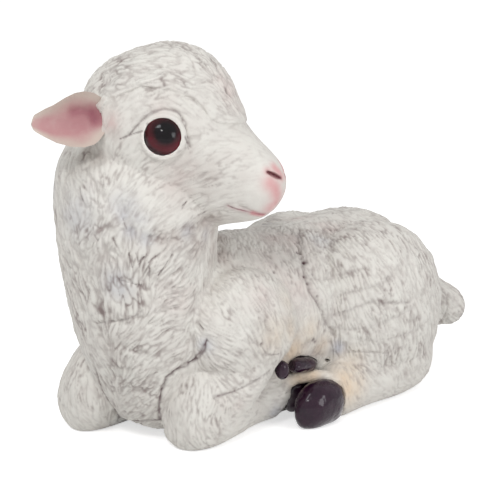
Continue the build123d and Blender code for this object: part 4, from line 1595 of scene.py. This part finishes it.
class LAMB_OT_hooves(bpy.types.Operator):
    """Make the enamelled hooves"""

    bl_idname = "lamb.hooves"
    bl_label = "Hooves"

    def execute(self, context):
        material = hoof_material()
        rays = rays_on("hind_hoof_left")
        spots = [hit[0] for hit in (rays.hit(*pixel) for pixel in OVERSPRAY) if hit]
        rays.close()
        for name in ("fore_hoof_left", "fore_hoof_right", "hind_hoof_left", "hind_hoof_right"):
            points, quads = soft_copy(name, HOOF_GRID, HOOF_ROUNDS, HOOF_WOBBLE)
            side = 1 if name.endswith("left") else -1
            points[:, 1] *= side
            points = fore_form(points) if name.startswith("fore") else hind_form(points)
            dust = np.zeros(len(points))
            for spot in spots:
                gap = np.linalg.norm(points - spot, axis=1)
                dust = np.maximum(dust, SPRAY_STRENGTH * bell(gap, SPRAY_RADIUS))
            points[:, 1] *= side
            piece = new_piece(name + "_enamel", points, quads)
            set_masks(piece.data, {"dust": dust})
            piece.data.materials.append(material)
            settle(piece, "hoof_gloss", name)
        return {"FINISHED"}


class LAMB_OT_base(bpy.types.Operator):
    """Finish the inner pin, the stopper and the felt"""

    bl_idname = "lamb.base"
    bl_label = "Pin, stopper and felt"

    def execute(self, context):
        finishes = {
            "head_dowel": ("beech pin", (0.55, 0.38, 0.22), (0.42, 0.27, 0.14), 300.0, 0.6, 0.1 * MM),
            "fill_plug": ("stopper", (0.72, 0.70, 0.66), (0.60, 0.58, 0.55), 200.0, 0.5, 0.05 * MM),
            "felt_pad": ("felt", (0.045, 0.038, 0.032), (0.09, 0.08, 0.07), 900.0, 0.95, 0.3 * MM),
        }
        for name, finish in finishes.items():
            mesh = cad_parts[name].data
            mesh.materials.clear()
            mesh.materials.append(plain_material(*finish))
        return {"FINISHED"}


# Stage

def soft_lamp(name, power, size, place, target, tone=(1, 1, 1)):
    lamp = bpy.data.lights.new(name, "AREA")
    lamp.shape = "RECTANGLE"
    lamp.size, lamp.size_y = size
    lamp.energy = power
    lamp.color = tone
    holder = bpy.data.objects.new(name, lamp)
    holder.location = place
    holder.rotation_euler = (Vector(target) - Vector(place)).to_track_quat("-Z", "Y").to_euler()
    bpy.context.scene.collection.objects.link(holder)


class LAMB_OT_stage(bpy.types.Operator):
    """Set the floor, the lamps and the camera"""

    bl_idname = "lamb.stage"
    bl_label = "Stage"

    def execute(self, context):
        values = stage_values()
        scene = context.scene
        back, right, up = (Vector(way) for way in camera_ways())
        target = Vector(values.target)
        side = 3.0
        corners = [(-side, -side, 0), (side, -side, 0), (side, side, 0), (-side, side, 0)]
        floor = new_piece("floor", corners, [(0, 1, 2, 3)])
        floor.data.materials.append(backdrop_material())

        camera = bpy.data.cameras.new("camera")
        camera.lens = values.lens
        camera.sensor_width = SENSOR
        camera.clip_start, camera.clip_end = 0.05, 20
        holder = bpy.data.objects.new("camera", camera)
        holder.location = target + back * values.distance
        holder.rotation_euler = (-back).to_track_quat("-Z", "Y").to_euler()
        scene.collection.objects.link(holder)
        scene.camera = holder

        above = target + back * 0.52 - right * 0.34 + up * 0.60
        beside = target + back * 0.77 - right * 0.145 + up * 0.42
        across = target + back * 0.50 + right * 0.70 + up * 0.10
        soft_lamp("key", values.key, (0.28, 0.28), above, target, (0.95, 0.98, 1.0))
        soft_lamp("front", values.front, (0.12, 0.12), beside, target)
        soft_lamp("fill", values.fill, (0.34, 0.38), across, target, (0.97, 0.98, 1.0))

        world = bpy.data.worlds.new("sky")
        world.use_nodes = True
        tree = world.node_tree
        ground = tree.nodes["Background"]
        feed(tree, ground, {"Color": (1, 1, 1, 1), "Strength": values.sky})
        seen = node(tree, "ShaderNodeBackground", (0, -200), {"Color": (1, 1, 1, 1), "Strength": 1.0})
        mix = node(tree, "ShaderNodeMixShader", (200, 0), {
            "Fac": seen_directly(tree), 1: ground.outputs["Background"], 2: seen.outputs["Background"],
        })
        feed(tree, tree.nodes["World Output"], {"Surface": mix.outputs["Shader"]})
        scene.world = world
        scene.view_settings.view_transform = "Standard"
        return {"FINISHED"}


class LAMB_PT_panel(bpy.types.Panel):
    """Settings and steps of the lying lamb"""

    bl_label = "Lying lamb"
    bl_space_type = "VIEW_3D"
    bl_region_type = "UI"
    bl_category = "Lamb"

    def draw(self, context):
        layout = self.layout
        for title, group in (("Carving", "lamb_carving"), ("Paint", "lamb_paint"), ("Stage", "lamb_stage")):
            values = getattr(context.scene, group)
            box = layout.box()
            box.label(text=title)
            for name in values.__annotations__:
                box.prop(values, name)
        for operator in OPERATORS:
            layout.operator(operator.bl_idname)


SETTINGS = {
    "lamb_carving": LambCarvingSettings,
    "lamb_paint": LambPaintSettings,
    "lamb_stage": LambStageSettings,
}
OPERATORS = (LAMB_OT_skin, LAMB_OT_ears, LAMB_OT_eyes, LAMB_OT_hooves, LAMB_OT_base, LAMB_OT_stage)


def register():
    for made in (*SETTINGS.values(), *OPERATORS, LAMB_PT_panel):
        bpy.utils.register_class(made)
    for name, group in SETTINGS.items():
        setattr(bpy.types.Scene, name, PointerProperty(type=group))


def unregister():
    for name in SETTINGS:
        delattr(bpy.types.Scene, name)
    for made in reversed((*SETTINGS.values(), *OPERATORS, LAMB_PT_panel)):
        bpy.utils.unregister_class(made)


def main():
    register()
    bpy.ops.lamb.skin()
    bpy.ops.lamb.ears()
    bpy.ops.lamb.eyes()
    bpy.ops.lamb.hooves()
    bpy.ops.lamb.base()
    bpy.ops.lamb.stage()
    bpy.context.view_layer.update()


if __name__ == "__main__":
    main()
